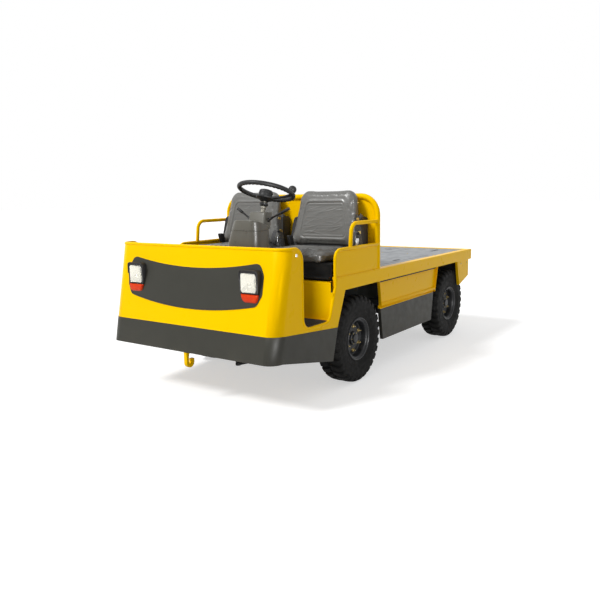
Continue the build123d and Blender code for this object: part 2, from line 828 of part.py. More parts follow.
def steering_ring():
    """Steering wheel rim, three flat spokes and boss."""
    plane = column_plane(0)
    ring = plane * Torus(STEER_RING_R, STEER_GRIP_R)
    hub = extrude(column_plane(HUB_DROP) * Circle(HUB_R), amount=-HUB_H)
    wheel = ring + hub
    for turn in SPOKE_TURNS_DEG:
        angle = math.radians(turn)
        tip = plane.from_local_coords((STEER_RING_R * math.cos(angle), STEER_RING_R * math.sin(angle), 0))
        side = plane.from_local_coords((-math.sin(angle), math.cos(angle), 0)) - plane.origin
        foot = column_plane(HUB_DROP + HUB_H / 2).origin
        run = tip - foot
        section = Plane(origin=foot, x_dir=side, z_dir=run) * Rectangle(SPOKE_W, SPOKE_T)
        wheel += extrude(section, amount=run.length)
    return wheel - extrude(column_plane(0) * Circle(SHAFT_R), amount=-SHAFT_END)


def steering_shaft():
    """Shaft from the boss down into the shroud."""
    return extrude(column_plane(HUB_DROP) * Circle(SHAFT_R), amount=HUB_DROP - SHAFT_END)


def hub_cap():
    """Domed cap on the steering wheel's boss."""
    cap = extrude(column_plane(HUB_DROP) * Circle(HUB_CAP_R), amount=HUB_CAP_H)
    top = cap.edges().filter_by(GeomType.CIRCLE).sort_by(Axis.Z)[-1]
    return fillet(top, HUB_CAP_ROUND)


def spinner_knob():
    """Knob on a short stem on the rim."""
    angle = math.radians(KNOB_TURN_DEG)
    plane = column_plane(-STEER_GRIP_R)
    x = STEER_RING_R * math.cos(angle)
    y = STEER_RING_R * math.sin(angle)
    foot = plane.from_local_coords((x, y, 0))
    top = plane.from_local_coords((x, y, KNOB_STEM_H))
    return rod(foot, top, KNOB_STEM_R) + Pos(*top) * Sphere(KNOB_R)


def pedals():
    """Accelerator and brake pads on stems that rise from the floor."""
    found = []
    for x in (CONSOLE_W / 2 + WHEEL_X + PEDAL_W, WHEEL_X - CONSOLE_W / 2 - PEDAL_W):
        foot = (x, PEDAL_Y, FLOOR_TOP_Z + MAT_T)
        head = (x, PEDAL_Y + PEDAL_LIFT, FLOOR_TOP_Z + MAT_T + PEDAL_LIFT)
        pad_plane = Plane(origin=head, x_dir=(1, 0, 0), z_dir=(0, 1, 1))
        pad = extrude(pad_plane * RectangleRounded(PEDAL_W, PEDAL_H, PEDAL_T), amount=PEDAL_T)
        y0 = PEDAL_Y - PEDAL_H
        y1 = PEDAL_Y + PEDAL_H
        below = block(x - PEDAL_W, x + PEDAL_W, y0, y1, FLOOR_LOW_Z, FLOOR_TOP_Z + MAT_T)
        found.append(rod(foot, head, PEDAL_STEM_R) + pad - below)
    return found


# Chassis
FLOOR_LOW_Z = FLOOR_TOP_Z - FLOOR_T
CHASSIS_TOP_Z = FLOOR_LOW_Z
CHASSIS_LOW_Z = CHASSIS_TOP_Z - CHASSIS_RAIL_H
RAIL_INNER_X = CHASSIS_RAIL_X - CHASSIS_RAIL_W / 2
RAIL_OUTER_X = CHASSIS_RAIL_X + CHASSIS_RAIL_W / 2


def chassis_rail():
    """Left main rail."""
    return block(RAIL_INNER_X, RAIL_OUTER_X, CHASSIS_FRONT_Y, CHASSIS_REAR_Y, CHASSIS_LOW_Z, CHASSIS_TOP_Z)


def chassis_crosses():
    """Cross members between the main rails and a bumper beam in front of them."""
    half = RAIL_INNER_X
    found = []
    middles = (CHASSIS_FRONT_Y + CROSS_W, BULKHEAD_Y, BATTERY_REAR_Y + CROSS_W, CHASSIS_REAR_Y - CROSS_W / 2)
    for y in middles:
        found.append(block(-half, half, y - CROSS_W / 2, y + CROSS_W / 2, CHASSIS_LOW_Z, CHASSIS_TOP_Z))
    wide = HALF_WIDTH - NOSE_CORNER_R
    beam_front = front_y(CHASSIS_TOP_Z) + SKIRT_INSET + SHEET + SOFT_GAP
    found.append(block(-wide, wide, beam_front, CHASSIS_FRONT_Y, CHASSIS_LOW_Z, CHASSIS_TOP_Z))
    return found


def deck_posts():
    """Posts from the main rails up to the deck beams."""
    top = DECK_LOW_Z - DECK_BEAM_H
    found = []
    for y in DECK_POST_YS:
        post = block(RAIL_INNER_X, RAIL_OUTER_X, y - CROSS_W / 2, y + CROSS_W / 2, CHASSIS_TOP_Z, top)
        found += both_sides(post)
    return found


def outriggers():
    """Arms that carry the side panels."""
    found = []
    span = LOWER_REAR_FOOT_Y - LOWER_FRONT_FOOT_Y
    for share in OUTRIGGER_Y_SHARES:
        y = LOWER_FRONT_FOOT_Y + span * share
        arm = block(
            RAIL_OUTER_X, PANEL_LOW_X - LOWER_PANEL_T, y - OUTRIGGER_W / 2, y + OUTRIGGER_W / 2,
            CHASSIS_TOP_Z - OUTRIGGER_H - OUTRIGGER_H / 2, CHASSIS_TOP_Z - OUTRIGGER_H / 2,
        )
        found += both_sides(arm)
    return found


# Deck
DECK_TOP_Z = RAIL_TOP_Z - DECK_DROP
DECK_LOW_Z = DECK_TOP_Z - DECK_T
DECK_INNER_X = HALF_WIDTH - RAIL_DEPTH
DECK_FRONT_Y = BULKHEAD_Y + BULKHEAD_TUBE_R
DECK_REAR_Y = REAR_Y - RAIL_DEPTH
DECK_POST_YS = (LID_FRONT_Y - CROSS_W, LID_REAR_Y + CROSS_W, DECK_REAR_Y - CROSS_W)


def side_rail():
    """Left deck rail, from the step-through to the rear."""
    rail = block(DECK_INNER_X, HALF_WIDTH, PANEL_FRONT_Y - RIM_TUBE_R * 2, REAR_Y, RAIL_BOTTOM_Z, RAIL_TOP_Z)
    sill = (SILL_REAR_Y, SILL_Z)
    foot = (PANEL_FRONT_Y, PANEL_FOOT_Z)
    front_low = on_line(RAIL_BOTTOM_Z, sill, foot)
    trim = [
        (PANEL_FRONT_Y - NOSE_REACH, RAIL_BOTTOM_Z - OVERRUN, 0),
        (on_line(RAIL_BOTTOM_Z - OVERRUN, sill, foot), RAIL_BOTTOM_Z - OVERRUN, 0),
        (front_low, RAIL_BOTTOM_Z, 0),
        (PANEL_FRONT_Y, PANEL_FOOT_Z, 0),
        (PANEL_FRONT_Y, RAIL_TOP_Z + OVERRUN, 0),
        (PANEL_FRONT_Y - NOSE_REACH, RAIL_TOP_Z + OVERRUN, 0),
    ]
    behind = block(
        DECK_INNER_X - OVERRUN, RIM_X - RIM_TUBE_R, PANEL_FRONT_Y - NOSE_REACH, SEAT_BOX_FRONT_Y,
        RAIL_BOTTOM_Z - OVERRUN, RAIL_TOP_Z + OVERRUN,
    )
    return rail - across(trim, DECK_INNER_X - OVERRUN, HALF_WIDTH + OVERRUN) - RIM_TUBE - behind


def end_rail():
    """Deck rail across the rear."""
    half = DECK_INNER_X - RAIL_SEAM
    return block(-half, half, DECK_REAR_Y, REAR_Y, RAIL_BOTTOM_Z, RAIL_TOP_Z)


def deck_beams():
    """Beams under the deck plates, between the side rails."""
    found = []
    for y in DECK_POST_YS:
        y0 = y - CROSS_W / 2
        y1 = y + CROSS_W / 2
        found.append(block(-DECK_INNER_X, DECK_INNER_X, y0, y1, DECK_LOW_Z - DECK_BEAM_H, DECK_LOW_Z))
    return found


def lid_ledges():
    """Angle strips that the lids rest on: outer edges and the middle spine."""
    y0 = LID_FRONT_Y - CROSS_W / 2 + RAIL_SEAM
    y1 = LID_REAR_Y + CROSS_W / 2 - RAIL_SEAM
    low = DECK_LOW_Z - DECK_BEAM_H / 2
    outer = block(LID_OUTER_X - OVERRUN, LID_OUTER_X + OVERRUN, y0, y1, low, DECK_LOW_Z - LID_REST)
    spine = block(-STRIP_HALF_W, STRIP_HALF_W, y0, y1, low, DECK_LOW_Z)
    return both_sides(outer) + [spine]


def deck_plates():
    """Fixed plates round the lids, with a joint between neighbours."""
    low = DECK_LOW_Z
    top = DECK_TOP_Z
    side_in = LID_OUTER_X + LID_GAP
    front = LID_FRONT_Y - LID_GAP + PLATE_GAP
    rear = LID_REAR_Y + LID_GAP - PLATE_GAP
    strip = block(-STRIP_HALF_W, STRIP_HALF_W, front, rear, low, top)
    for pin in hinge_pins():
        strip += both_sides(pin)
    found = [
        strip,
        block(-DECK_INNER_X, DECK_INNER_X, DECK_FRONT_Y, LID_FRONT_Y - LID_GAP, low, top),
        block(-DECK_INNER_X, DECK_INNER_X, LID_REAR_Y + LID_GAP, DECK_REAR_Y, low, top),
    ]
    side = block(side_in, DECK_INNER_X, front, rear, low, top)
    return found + both_sides(side)


def hinge_ys():
    """Middles of the two hinges of a lid."""
    span = LID_REAR_Y - LID_FRONT_Y
    return [LID_FRONT_Y + share * span for share in HINGE_Y_SHARES]


def hinge_pins():
    """Hinge pins of the left lid with the knuckles that hold them to the middle strip."""
    found = []
    for y in hinge_ys():
        low = y - HINGE_L / 2 - HINGE_END
        high = y + HINGE_L / 2 + HINGE_END
        piece = rod((LID_HINGE_X, low, DECK_TOP_Z), (LID_HINGE_X, high, DECK_TOP_Z), HINGE_PIN_R)
        for start, end in ((low, y - HINGE_L / 2 - PLATE_GAP), (y + HINGE_L / 2 + PLATE_GAP, high)):
            piece += rod((LID_HINGE_X, start, DECK_TOP_Z), (LID_HINGE_X, end, DECK_TOP_Z), HINGE_R)
            web = HINGE_R / 2
            piece += block(STRIP_HALF_W, LID_HINGE_X, start, end, DECK_TOP_Z - web, DECK_TOP_Z + web)
        found.append(piece)
    return found


def deck_lid():
    """Left battery lid with its hinge barrels and a hand slot."""
    inner = LID_HINGE_X + LID_EDGE
    lid = block(inner, LID_OUTER_X, LID_FRONT_Y, LID_REAR_Y, DECK_LOW_Z, DECK_TOP_Z)
    for y in hinge_ys():
        low = y - HINGE_L / 2
        high = y + HINGE_L / 2
        lid += rod((LID_HINGE_X, low, DECK_TOP_Z), (LID_HINGE_X, high, DECK_TOP_Z), HINGE_R)
        web = HINGE_R / 2
        lid += block(LID_HINGE_X, inner + LID_EDGE, low, high, DECK_TOP_Z - web, DECK_TOP_Z + web)
        for start, end in ((low - HINGE_END - PLATE_GAP, low), (high, high + HINGE_END + PLATE_GAP)):
            notch = (inner - OVERRUN, inner + LID_EDGE, start, end)
            lid -= block(*notch, DECK_LOW_Z - OVERRUN, DECK_TOP_Z + OVERRUN)
        bore_start = (LID_HINGE_X, low - OVERRUN, DECK_TOP_Z)
        bore_end = (LID_HINGE_X, high + OVERRUN, DECK_TOP_Z)
        lid -= rod(bore_start, bore_end, HINGE_PIN_R + RUNNING_FIT)
    middle = (LID_FRONT_Y + LID_REAR_Y) / 2
    slot_x = LID_OUTER_X - SLOT_INSET
    slot = rounded_rect(slot_x, middle, SLOT_W, SLOT_L, SLOT_R)
    return lid - upright(slot, DECK_LOW_Z - OVERRUN, DECK_TOP_Z + OVERRUN)


# Battery and side panels
def battery_pack():
    """Battery block on the main rails."""
    half = BATTERY_HALF_W
    return block(-half, half, BATTERY_FRONT_Y, BATTERY_REAR_Y, CHASSIS_TOP_Z, CHASSIS_TOP_Z + BATTERY_H)


def upper_side_panel():
    """Left yellow panel under the deck rail: upright flanges at its ends, a sloping ledge at its foot."""
    inner = PANEL_X - PANEL_SHEET
    corners = [
        (UPPER_FRONT_TOP_Y, RAIL_BOTTOM_Z, 0),
        (UPPER_REAR_TOP_Y, RAIL_BOTTOM_Z, 0),
        (UPPER_REAR_FOOT_Y, LOWER_TOP_Z, 0),
        (UPPER_FRONT_FOOT_Y, LOWER_TOP_Z, 0),
    ]
    sheet = across(corners, inner, PANEL_X)
    foot_y0 = LOWER_FRONT_TOP_Y
    foot_y1 = LOWER_REAR_TOP_Y
    wedge = [(inner, LOWER_TOP_Z, 0), (PANEL_LOW_X, LOWER_TOP_Z, 0), (inner, LEDGE_LINE_Z + SHEET, 0)]
    piece = sheet + along(wedge, foot_y0, foot_y1)
    ends = (
        (UPPER_FRONT_TOP_Y, UPPER_FRONT_FOOT_Y, PANEL_SHEET),
        (UPPER_REAR_TOP_Y, UPPER_REAR_FOOT_Y, -PANEL_SHEET),
    )
    for top_y, foot_y, thick in ends:
        flange = [
            (top_y, RAIL_BOTTOM_Z, 0),
            (top_y + thick, RAIL_BOTTOM_Z, 0),
            (foot_y + thick, LOWER_TOP_Z, 0),
            (foot_y, LOWER_TOP_Z, 0),
        ]
        piece += across(flange, inner, PANEL_LOW_X)
    return piece


def lower_side_panel():
    """Left grey panel, a shallow box hung from the outriggers."""
    corners = [
        (LOWER_FRONT_TOP_Y, LOWER_TOP_Z, 0),
        (LOWER_REAR_TOP_Y, LOWER_TOP_Z, 0),
        (LOWER_REAR_FOOT_Y, LOWER_FOOT_Z, 0),
        (LOWER_FRONT_FOOT_Y, LOWER_FOOT_Z, 0),
    ]
    return across(corners, PANEL_LOW_X - LOWER_PANEL_T, PANEL_LOW_X)


# Rear guards, lamps and coupling
def corner_guard():
    """Left rear guard: a side plate with a forward return, and its rear return."""
    shape = [
        (GUARD_FRONT_Y, RAIL_BOTTOM_Z, 0),
        (GUARD_TIP_Y, GUARD_TIP_Z, 0),
        (GUARD_REAR_Y, GUARD_REAR_Z, 0),
        (GUARD_REAR_Y, RAIL_BOTTOM_Z, 0),
    ]
    outer = HALF_WIDTH - SHEET_INSET
    block_all = across(shape, outer - GUARD_RETURN, outer)
    hollow = [
        (GUARD_FRONT_Y + GUARD_T, RAIL_BOTTOM_Z + OVERRUN, 0),
        (GUARD_TIP_Y + GUARD_T, GUARD_TIP_Z + GUARD_T * 2, 0),
        (GUARD_REAR_Y - GUARD_T, GUARD_REAR_Z + GUARD_T, 0),
        (GUARD_REAR_Y - GUARD_T, RAIL_BOTTOM_Z + OVERRUN, 0),
    ]
    return block_all - across(hollow, outer - GUARD_RETURN - OVERRUN, outer - GUARD_T)


def rear_valance():
    """Sheet across the rear, under the end rail."""
    half = HALF_WIDTH - SHEET_INSET - GUARD_RETURN - RAIL_SEAM
    return block(-half, half, GUARD_REAR_Y - GUARD_T, GUARD_REAR_Y, GUARD_REAR_Z, RAIL_BOTTOM_Z)


def tail_lamp():
    """Left tail lamp on the valance."""
    z = (RAIL_BOTTOM_Z + GUARD_REAR_Z) / 2
    corners = rounded_rect(TAIL_X, z, TAIL_W, TAIL_H, TAIL_R)
    return along(corners, GUARD_REAR_Y, GUARD_REAR_Y + TAIL_T)


def rear_coupling():
    """Two-jaw towing clevis with a bore for a drop pin, on a back plate."""
    y0 = CHASSIS_REAR_Y
    y1 = y0 + COUPLING_PLATE_T
    half = COUPLING_W / 2
    z0 = COUPLING_Z - COUPLING_MOUTH / 2 - COUPLING_T
    piece = block(-half, half, y0, y1, z0, CHASSIS_LOW_Z + CROSS_W)
    for z in (z0, COUPLING_Z + COUPLING_MOUTH / 2):
        corners = [(half, y1, 0), (half, REAR_Y, half / 2), (-half, REAR_Y, half / 2), (-half, y1, 0)]
        piece += upright(corners, z, z + COUPLING_T)
    pin_y = REAR_Y - COUPLING_PIN_R - COUPLING_EDGE
    top = COUPLING_Z + COUPLING_MOUTH / 2 + COUPLING_T
    bore = rod((0, pin_y, z0 - OVERRUN), (0, pin_y, top + OVERRUN), COUPLING_PIN_R)
    return piece - bore


def tow_hook():
    """Front tow hook: a flat J behind the skirt, its foot under the bumper beam."""
    half = HOOK_T / 2
    bend_z = HOOK_LOW_Z + HOOK_R
    stem_y = HOOK_Y + HOOK_BAR
    shape = [
        (HOOK_Y, bend_z, 0),
        (HOOK_Y, HOOK_NECK_Z, 0),
        (HOOK_Y + HOOK_NECK_LEAN, CHASSIS_LOW_Z, 0),
        (HOOK_FOOT_REAR_Y, CHASSIS_LOW_Z, 0),
        (HOOK_FOOT_REAR_Y, CHASSIS_LOW_Z - HOOK_FOOT_T, 0),
        (stem_y, HOOK_NECK_Z - HOOK_WEB_DROP, HOOK_R),
        (stem_y, bend_z, 0),
    ]
    outer = across(shape, -half, half)
    centre = HOOK_Y + HOOK_R
    ring = rod((-half, centre, bend_z), (half, centre, bend_z), HOOK_R)
    throat = HOOK_THROAT_R
    ring -= rod((-half - OVERRUN, centre, bend_z), (half + OVERRUN, centre, bend_z), throat)
    wide = half + OVERRUN
    upper = block(-wide, wide, centre - throat, centre + HOOK_R, bend_z, bend_z + HOOK_R * 2)
    tip = block(-half, half, centre + throat, centre + HOOK_R, bend_z, bend_z + HOOK_TIP)
    return outer + (ring - upper) + tip


# Wheels
def tyre():
    """Tyre about the X axis, its middle plane at x = 0, out to the tips of the lugs."""
    section = [
        (TREAD_HALF_W, TYRE_R),
        (TYRE_HALF_W - SHOULDER_IN, TYRE_R - SHOULDER_DROP),
        (TYRE_HALF_W, TYRE_R - WIDEST_DROP),
        (TYRE_HALF_W - LOW_WALL_IN, TYRE_R - LOW_WALL_DROP),
        (BEAD_HALF_W, BEAD_R + BEAD_H),
        (BEAD_HALF_W, BEAD_R),
    ]
    points = section + [(-x, r) for x, r in reversed(section)]
    face = make_face(Polyline(*points, close=True))
    return revolve(face, axis=Axis.X)


def rim():
    """Steel rim, disc and hub about the X axis, the outer side towards +X."""
    seat = BEAD_R - RIM_FIT
    inner = seat - RIM_WALL
    lip = BEAD_HALF_W + RIM_FIT
    half = [
        (lip, seat),
        (lip, RIM_FLANGE_R),
        (lip + RIM_FLANGE_T, RIM_FLANGE_R),
        (lip + RIM_FLANGE_T, inner),
    ]
    barrel = make_face(Polyline(*half, *[(-x, r) for x, r in reversed(half)], close=True))
    piece = revolve(barrel, axis=Axis.X)
    piece += rod((DISC_OUT, 0, 0), (DISC_OUT + DISC_T, 0, 0), inner + RIM_WALL / 2)
    piece += rod((-WHEEL_HUB_IN, 0, 0), (WHEEL_HUB_OUT, 0, 0), WHEEL_HUB_R)
    piece += rod((WHEEL_HUB_OUT, 0, 0), (WHEEL_HUB_OUT + WHEEL_CAP_H, 0, 0), WHEEL_CAP_R)
    for index in range(NUT_COUNT):
        angle = 2 * math.pi * index / NUT_COUNT
        y = NUT_PCD / 2 * math.cos(angle)
        z = NUT_PCD / 2 * math.sin(angle)
        foot = Plane(origin=(DISC_OUT + DISC_T, y, z), z_dir=(1, 0, 0))
        piece += extrude(foot * RegularPolygon(NUT_R, NUT_SIDES), amount=NUT_H)
    depth = WHEEL_HUB_OUT - SPINDLE_END_GAP
    return piece - rod((-WHEEL_HUB_IN - OVERRUN, 0, 0), (depth, 0, 0), HUB_BORE_R)


TYRE = tyre()
RIM = rim()
SPINDLE_R = HUB_BORE_R - RUNNING_FIT


def placed(piece, side, track, axle_y):
    """A wheel piece at its axle end; side is 1 for left, -1 for right."""
    turned = piece if side > 0 else mirror(piece, about=Plane.YZ)
    return Pos(side * track, axle_y, TYRE_R) * turned


# Front axle and knuckles
EAR_LOW_TOP = TYRE_R - EYE_H / 2 - EAR_GAP
EAR_HIGH_LOW = TYRE_R + EYE_H / 2 + EAR_GAP


def front_axle():
    """Beam with an eye for the kingpin at each end."""
    beam = block(
        -KINGPIN_X, KINGPIN_X, FRONT_AXLE_Y - AXLE_BEAM_W / 2, FRONT_AXLE_Y + AXLE_BEAM_W / 2,
        TYRE_R - AXLE_BEAM_H / 2, TYRE_R + AXLE_BEAM_H / 2,
    )
    for side in (1, -1):
        low = (side * KINGPIN_X, FRONT_AXLE_Y, TYRE_R - EYE_H / 2)
        high = (side * KINGPIN_X, FRONT_AXLE_Y, TYRE_R + EYE_H / 2)
        beam += rod(low, high, EYE_R)
    for side in (1, -1):
        low = (side * KINGPIN_X, FRONT_AXLE_Y, TYRE_R - EYE_H)
        high = (side * KINGPIN_X, FRONT_AXLE_Y, TYRE_R + EYE_H)
        beam -= rod(low, high, KINGPIN_R + RUNNING_FIT)
    return beam


def arm(start, end, z0, z1, width, boss):
    """Flat arm between two plan points, with round ends."""
    run = Vector(end[0] - start[0], end[1] - start[1], 0)
    plane = Plane(origin=(start[0], start[1], z0), x_dir=run, z_dir=(0, 0, 1))
    bar = extrude(plane * Pos(run.length / 2, 0, 0) * Rectangle(run.length, width), amount=z1 - z0)
    return bar + rod((*end, z0), (*end, z1), boss)


ARM_LOW_Z = EAR_LOW_TOP - ARM_T
ROD_EYE_TOP = ARM_LOW_Z - ROD_GAP
ROD_EYE_LOW = ROD_EYE_TOP - ROD_EYE_H
ROD_Z = (ROD_EYE_TOP + ROD_EYE_LOW) / 2


def ball_pin(x, y):
    """Pin that hangs from an arm through a rod eye."""
    return rod((x, y, ROD_EYE_LOW), (x, y, ARM_LOW_Z), BALL_PIN_R)


def knuckle(side):
    """Steering knuckle: two ears on a kingpin, spindle and steering arms."""
    x = side * KINGPIN_X
    y = FRONT_AXLE_Y
    ear_low = EAR_LOW_TOP - EAR_T
    ear_high = EAR_HIGH_LOW + EAR_T
    piece = rod((x, y, ear_low), (x, y, ear_high), KINGPIN_R)
    reach = x + side * (YOKE_REACH + YOKE_T)
    for z0, z1 in ((ear_low, EAR_LOW_TOP), (EAR_HIGH_LOW, ear_high)):
        piece += rod((x, y, z0), (x, y, z1), EYE_R)
        piece += block(x, reach, y - EYE_R, y + EYE_R, z0, z1)
    piece += block(x + side * YOKE_REACH, reach, y - EYE_R, y + EYE_R, ear_low, ear_high)
    end = side * (FRONT_TRACK_X + WHEEL_HUB_OUT - SPINDLE_END_GAP * 2)
    piece += rod((reach, y, TYRE_R), (end, y, TYRE_R), SPINDLE_R)
    piece += arm((x, y), (x, y + TIE_ARM_Y), ARM_LOW_Z, EAR_LOW_TOP, ARM_W, ROD_EYE_R)
    piece += ball_pin(x, y + TIE_ARM_Y)
    if side > 0:
        tip = (x + DRAG_ARM_X, y + DRAG_ARM_Y)
        piece += arm((x, y), tip, ARM_LOW_Z, EAR_LOW_TOP, ARM_W, ROD_EYE_R)
        piece += ball_pin(*tip)
    return piece


def link(start, end):
    """Rod with an eye at each end."""
    piece = rod((*start, ROD_Z), (*end, ROD_Z), ROD_R)
    for x, y in (start, end):
        piece += rod((x, y, ROD_EYE_LOW), (x, y, ROD_EYE_TOP), ROD_EYE_R)
    for x, y in (start, end):
        piece -= rod((x, y, ROD_EYE_LOW - OVERRUN), (x, y, ROD_EYE_TOP + OVERRUN), BALL_PIN_R + RUNNING_FIT)
    return piece


TIE_Y = FRONT_AXLE_Y + TIE_ARM_Y
DRAG_KNUCKLE = (KINGPIN_X + DRAG_ARM_X, FRONT_AXLE_Y + DRAG_ARM_Y)
DRAG_PITMAN = (GEAR_X + DRAG_ARM_X, GEAR_Y + DRAG_ARM_Y)


def pitman_arm():
    """Arm on the steering gear, parallel to the knuckle's front arm."""
    piece = arm((GEAR_X, GEAR_Y), DRAG_PITMAN, ARM_LOW_Z, EAR_LOW_TOP, ARM_W, ROD_EYE_R)
    piece += rod((GEAR_X, GEAR_Y, ARM_LOW_Z), (GEAR_X, GEAR_Y, EAR_LOW_TOP), ARM_W)
    bore_start = (GEAR_X, GEAR_Y, ARM_LOW_Z - OVERRUN)
    bore_end = (GEAR_X, GEAR_Y, EAR_LOW_TOP + OVERRUN)
    return piece - rod(bore_start, bore_end, SECTOR_R + RUNNING_FIT) + ball_pin(*DRAG_PITMAN)


def steering_gear():
    """Gear case on the left main rail, with the sector shaft below it."""
    low = EAR_LOW_TOP + ROD_GAP
    case = block(
        RAIL_OUTER_X, RAIL_OUTER_X + GEAR_W, GEAR_Y - GEAR_L / 2, GEAR_Y + GEAR_L / 2, low, CHASSIS_TOP_Z
    )
    return case + rod((GEAR_X, GEAR_Y, ARM_LOW_Z), (GEAR_X, GEAR_Y, low), SECTOR_R)


# Springs
def leaf_spring(axle_y, seat_z):
    """Left leaf spring: bowed leaves, shorter towards the axle, eyes at the ends."""
    x0 = SPRING_X - SPRING_W / 2
    x1 = SPRING_X + SPRING_W / 2
    piece = None
    for index in range(LEAF_COUNT):
        half = SPRING_HALF_L * (1 - index / LEAF_COUNT * LEAF_TAPER_SHARE)
        low = seat_z + (LEAF_COUNT - 1 - index) * LEAF_T
        rise = SPRING_RISE * (half / SPRING_HALF_L) ** 2
        foot = ThreePointArc((axle_y - half, low + rise), (axle_y, low), (axle_y + half, low + rise))
        head = ThreePointArc(
            (axle_y + half, low + rise + LEAF_T), (axle_y, low + LEAF_T), (axle_y - half, low + rise + LEAF_T)
        )
        ends = [Line(foot @ 1, head @ 0), Line(head @ 1, foot @ 0)]
        face = Plane.YZ.offset(x0) * make_face([foot, ends[0], head, ends[1]])
        leaf = extrude(face, amount=x1 - x0, dir=(1, 0, 0))
        piece = leaf if piece is None else piece + leaf
    top = seat_z + (LEAF_COUNT - 1) * LEAF_T + SPRING_RISE + SPRING_EYE_R
    for y in (axle_y - SPRING_HALF_L, axle_y + SPRING_HALF_L):
        piece += rod((x0, y, top), (x1, y, top), SPRING_EYE_R)
    return piece


def spring_hangers(axle_y, seat_z):
    """Plates beside the left spring's eyes, and the pins that they carry."""
    top = seat_z + (LEAF_COUNT - 1) * LEAF_T + SPRING_RISE + SPRING_EYE_R
    found = []
    for y in (axle_y - SPRING_HALF_L, axle_y + SPRING_HALF_L):
        found.append(
            block(
                RAIL_OUTER_X, SPRING_X - SPRING_W / 2, y - SPRING_EYE_R * 2, y + SPRING_EYE_R * 2,
                top - SPRING_EYE_R, CHASSIS_TOP_Z,
            )
        )
    return found


FRONT_SEAT_Z = TYRE_R + AXLE_BEAM_H / 2
REAR_SEAT_Z = TYRE_R + AXLE_TUBE_R


# Rear axle
def rear_axle():
    """Drive axle: tubes, gear housing, brake drums and spindles."""
    y, z = REAR_AXLE_Y, TYRE_R
    drum_x = REAR_TRACK_X - WHEEL_HUB_IN - OVERRUN
    piece = rod((-drum_x, y, z), (drum_x, y, z), AXLE_TUBE_R)
    piece += rod((-DIFF_HALF_W, y, z), (DIFF_HALF_W, y, z), DIFF_R)
    end = REAR_TRACK_X + WHEEL_HUB_OUT - SPINDLE_END_GAP * 2
    piece += rod((-end, y, z), (end, y, z), SPINDLE_R)
    for side in (1, -1):
        piece += rod((side * (drum_x - DRUM_W), y, z), (side * drum_x, y, z), DRUM_R)
    return piece


def drive_motor():
    """Motor bolted behind the axle's gear housing."""
    start = REAR_AXLE_Y + DIFF_R
    return rod((0, start, TYRE_R), (0, start + MOTOR_L, TYRE_R), MOTOR_R)


def all_parts():
    """Every node's name with its solids."""
    parts = {
        "edge_tube": [RIM_TUBE],
        "nose_shell": [nose_shell()],
        "nose_skirt": [nose_skirt()],
        "front_trim": [front_trim()],
        "lamp_housings": both_sides(lamp_housing()),
        "headlamp_lenses": both_sides(lens(LAMP_Z, LAMP_H, LAMP_R)),
        "indicator_lenses": both_sides(lens(INDICATOR_Z, INDICATOR_H, INDICATOR_R)),
        "cab_floor": [cab_floor() + seat_riser()],
        "floor_mat": [floor_mat()],
        "seat_box": [seat_box()],
        "bulkhead_tube": [BULKHEAD_TUBE + both_sides(grab_rail())],
        "bulkhead_sheet": [bulkhead_sheet()],
        "side_panels": both_sides(side_panel()),
        "steering_cowls": [steering_console(), steering_cowl()],
        "column_shroud": [column_shroud()],
        "driver_controls": column_levers() + pedals(),
        "steering_wheel": [steering_ring() + steering_shaft()],
        "steering_hub_cap": [hub_cap()],
        "spinner_knob": [spinner_knob()],
        "chassis_rails": both_sides(chassis_rail()),
        "chassis_cross_members": chassis_crosses(),
        "deck_rails": both_sides(side_rail()) + [end_rail()],
        "deck_beams": deck_beams() + lid_ledges(),
        "deck_plates": deck_plates(),
        "battery_pack": [battery_pack()],
        "upper_side_panels": both_sides(upper_side_panel()),
        "lower_side_panels": both_sides(lower_side_panel()),
        "rear_guards": both_sides(corner_guard()) + [rear_valance()],
        "tail_lamps": both_sides(tail_lamp()),
        "rear_coupling": [rear_coupling()],
        "front_tow_hook": [tow_hook()],
        "front_axle": [front_axle()],
        "rear_axle": [rear_axle()],
        "drive_motor": [drive_motor()],
        "steering_gear": [steering_gear()],
        "knuckle_left": [knuckle(1)],
        "knuckle_right": [knuckle(-1)],
        "tie_rod": [link((KINGPIN_X, TIE_Y), (-KINGPIN_X, TIE_Y))],
        "drag_link": [link(DRAG_KNUCKLE, DRAG_PITMAN)],
        "pitman_arm": [pitman_arm()],
    }
    parts["seat_shells"] = both_sides(seat_shell())
    seat_pieces = (("cushion", seat_cushion()), ("backrest", backrest()))
    for name, piece in seat_pieces:
        left, right = both_sides(piece)
        parts["driver_seat_" + name] = [left]
        parts["passenger_seat_" + name] = [right]
    springs = []
    hangers = []
    for axle_y, seat_z in ((FRONT_AXLE_Y, FRONT_SEAT_Z), (REAR_AXLE_Y, REAR_SEAT_Z)):
        springs += both_sides(leaf_spring(axle_y, seat_z))
        for hanger in spring_hangers(axle_y, seat_z):
            hangers += both_sides(hanger)
    parts["leaf_springs"] = springs
    parts["chassis_brackets"] = deck_posts() + outriggers() + hangers
    left_lid, right_lid = both_sides(deck_lid())
    parts["deck_lid_left"] = [left_lid]
    parts["deck_lid_right"] = [right_lid]
    corners = (
        ("front_left", 1, FRONT_TRACK_X, FRONT_AXLE_Y),
        ("front_right", -1, FRONT_TRACK_X, FRONT_AXLE_Y),
        ("rear_left", 1, REAR_TRACK_X, REAR_AXLE_Y),
        ("rear_right", -1, REAR_TRACK_X, REAR_AXLE_Y),
    )
    for name, side, track, axle_y in corners:
        parts["tyre_" + name] = [placed(TYRE, side, track, axle_y)]
        parts["rim_" + name] = [placed(RIM, side, track, axle_y)]
    return parts


os.makedirs("parts", exist_ok=True)
for node, solids in all_parts().items():
    flat = [s for piece in solids for s in piece.solids()]
    shape = flat[0] if len(flat) == 1 else Compound(children=flat)
    export_step(shape, f"parts/{node}.step")
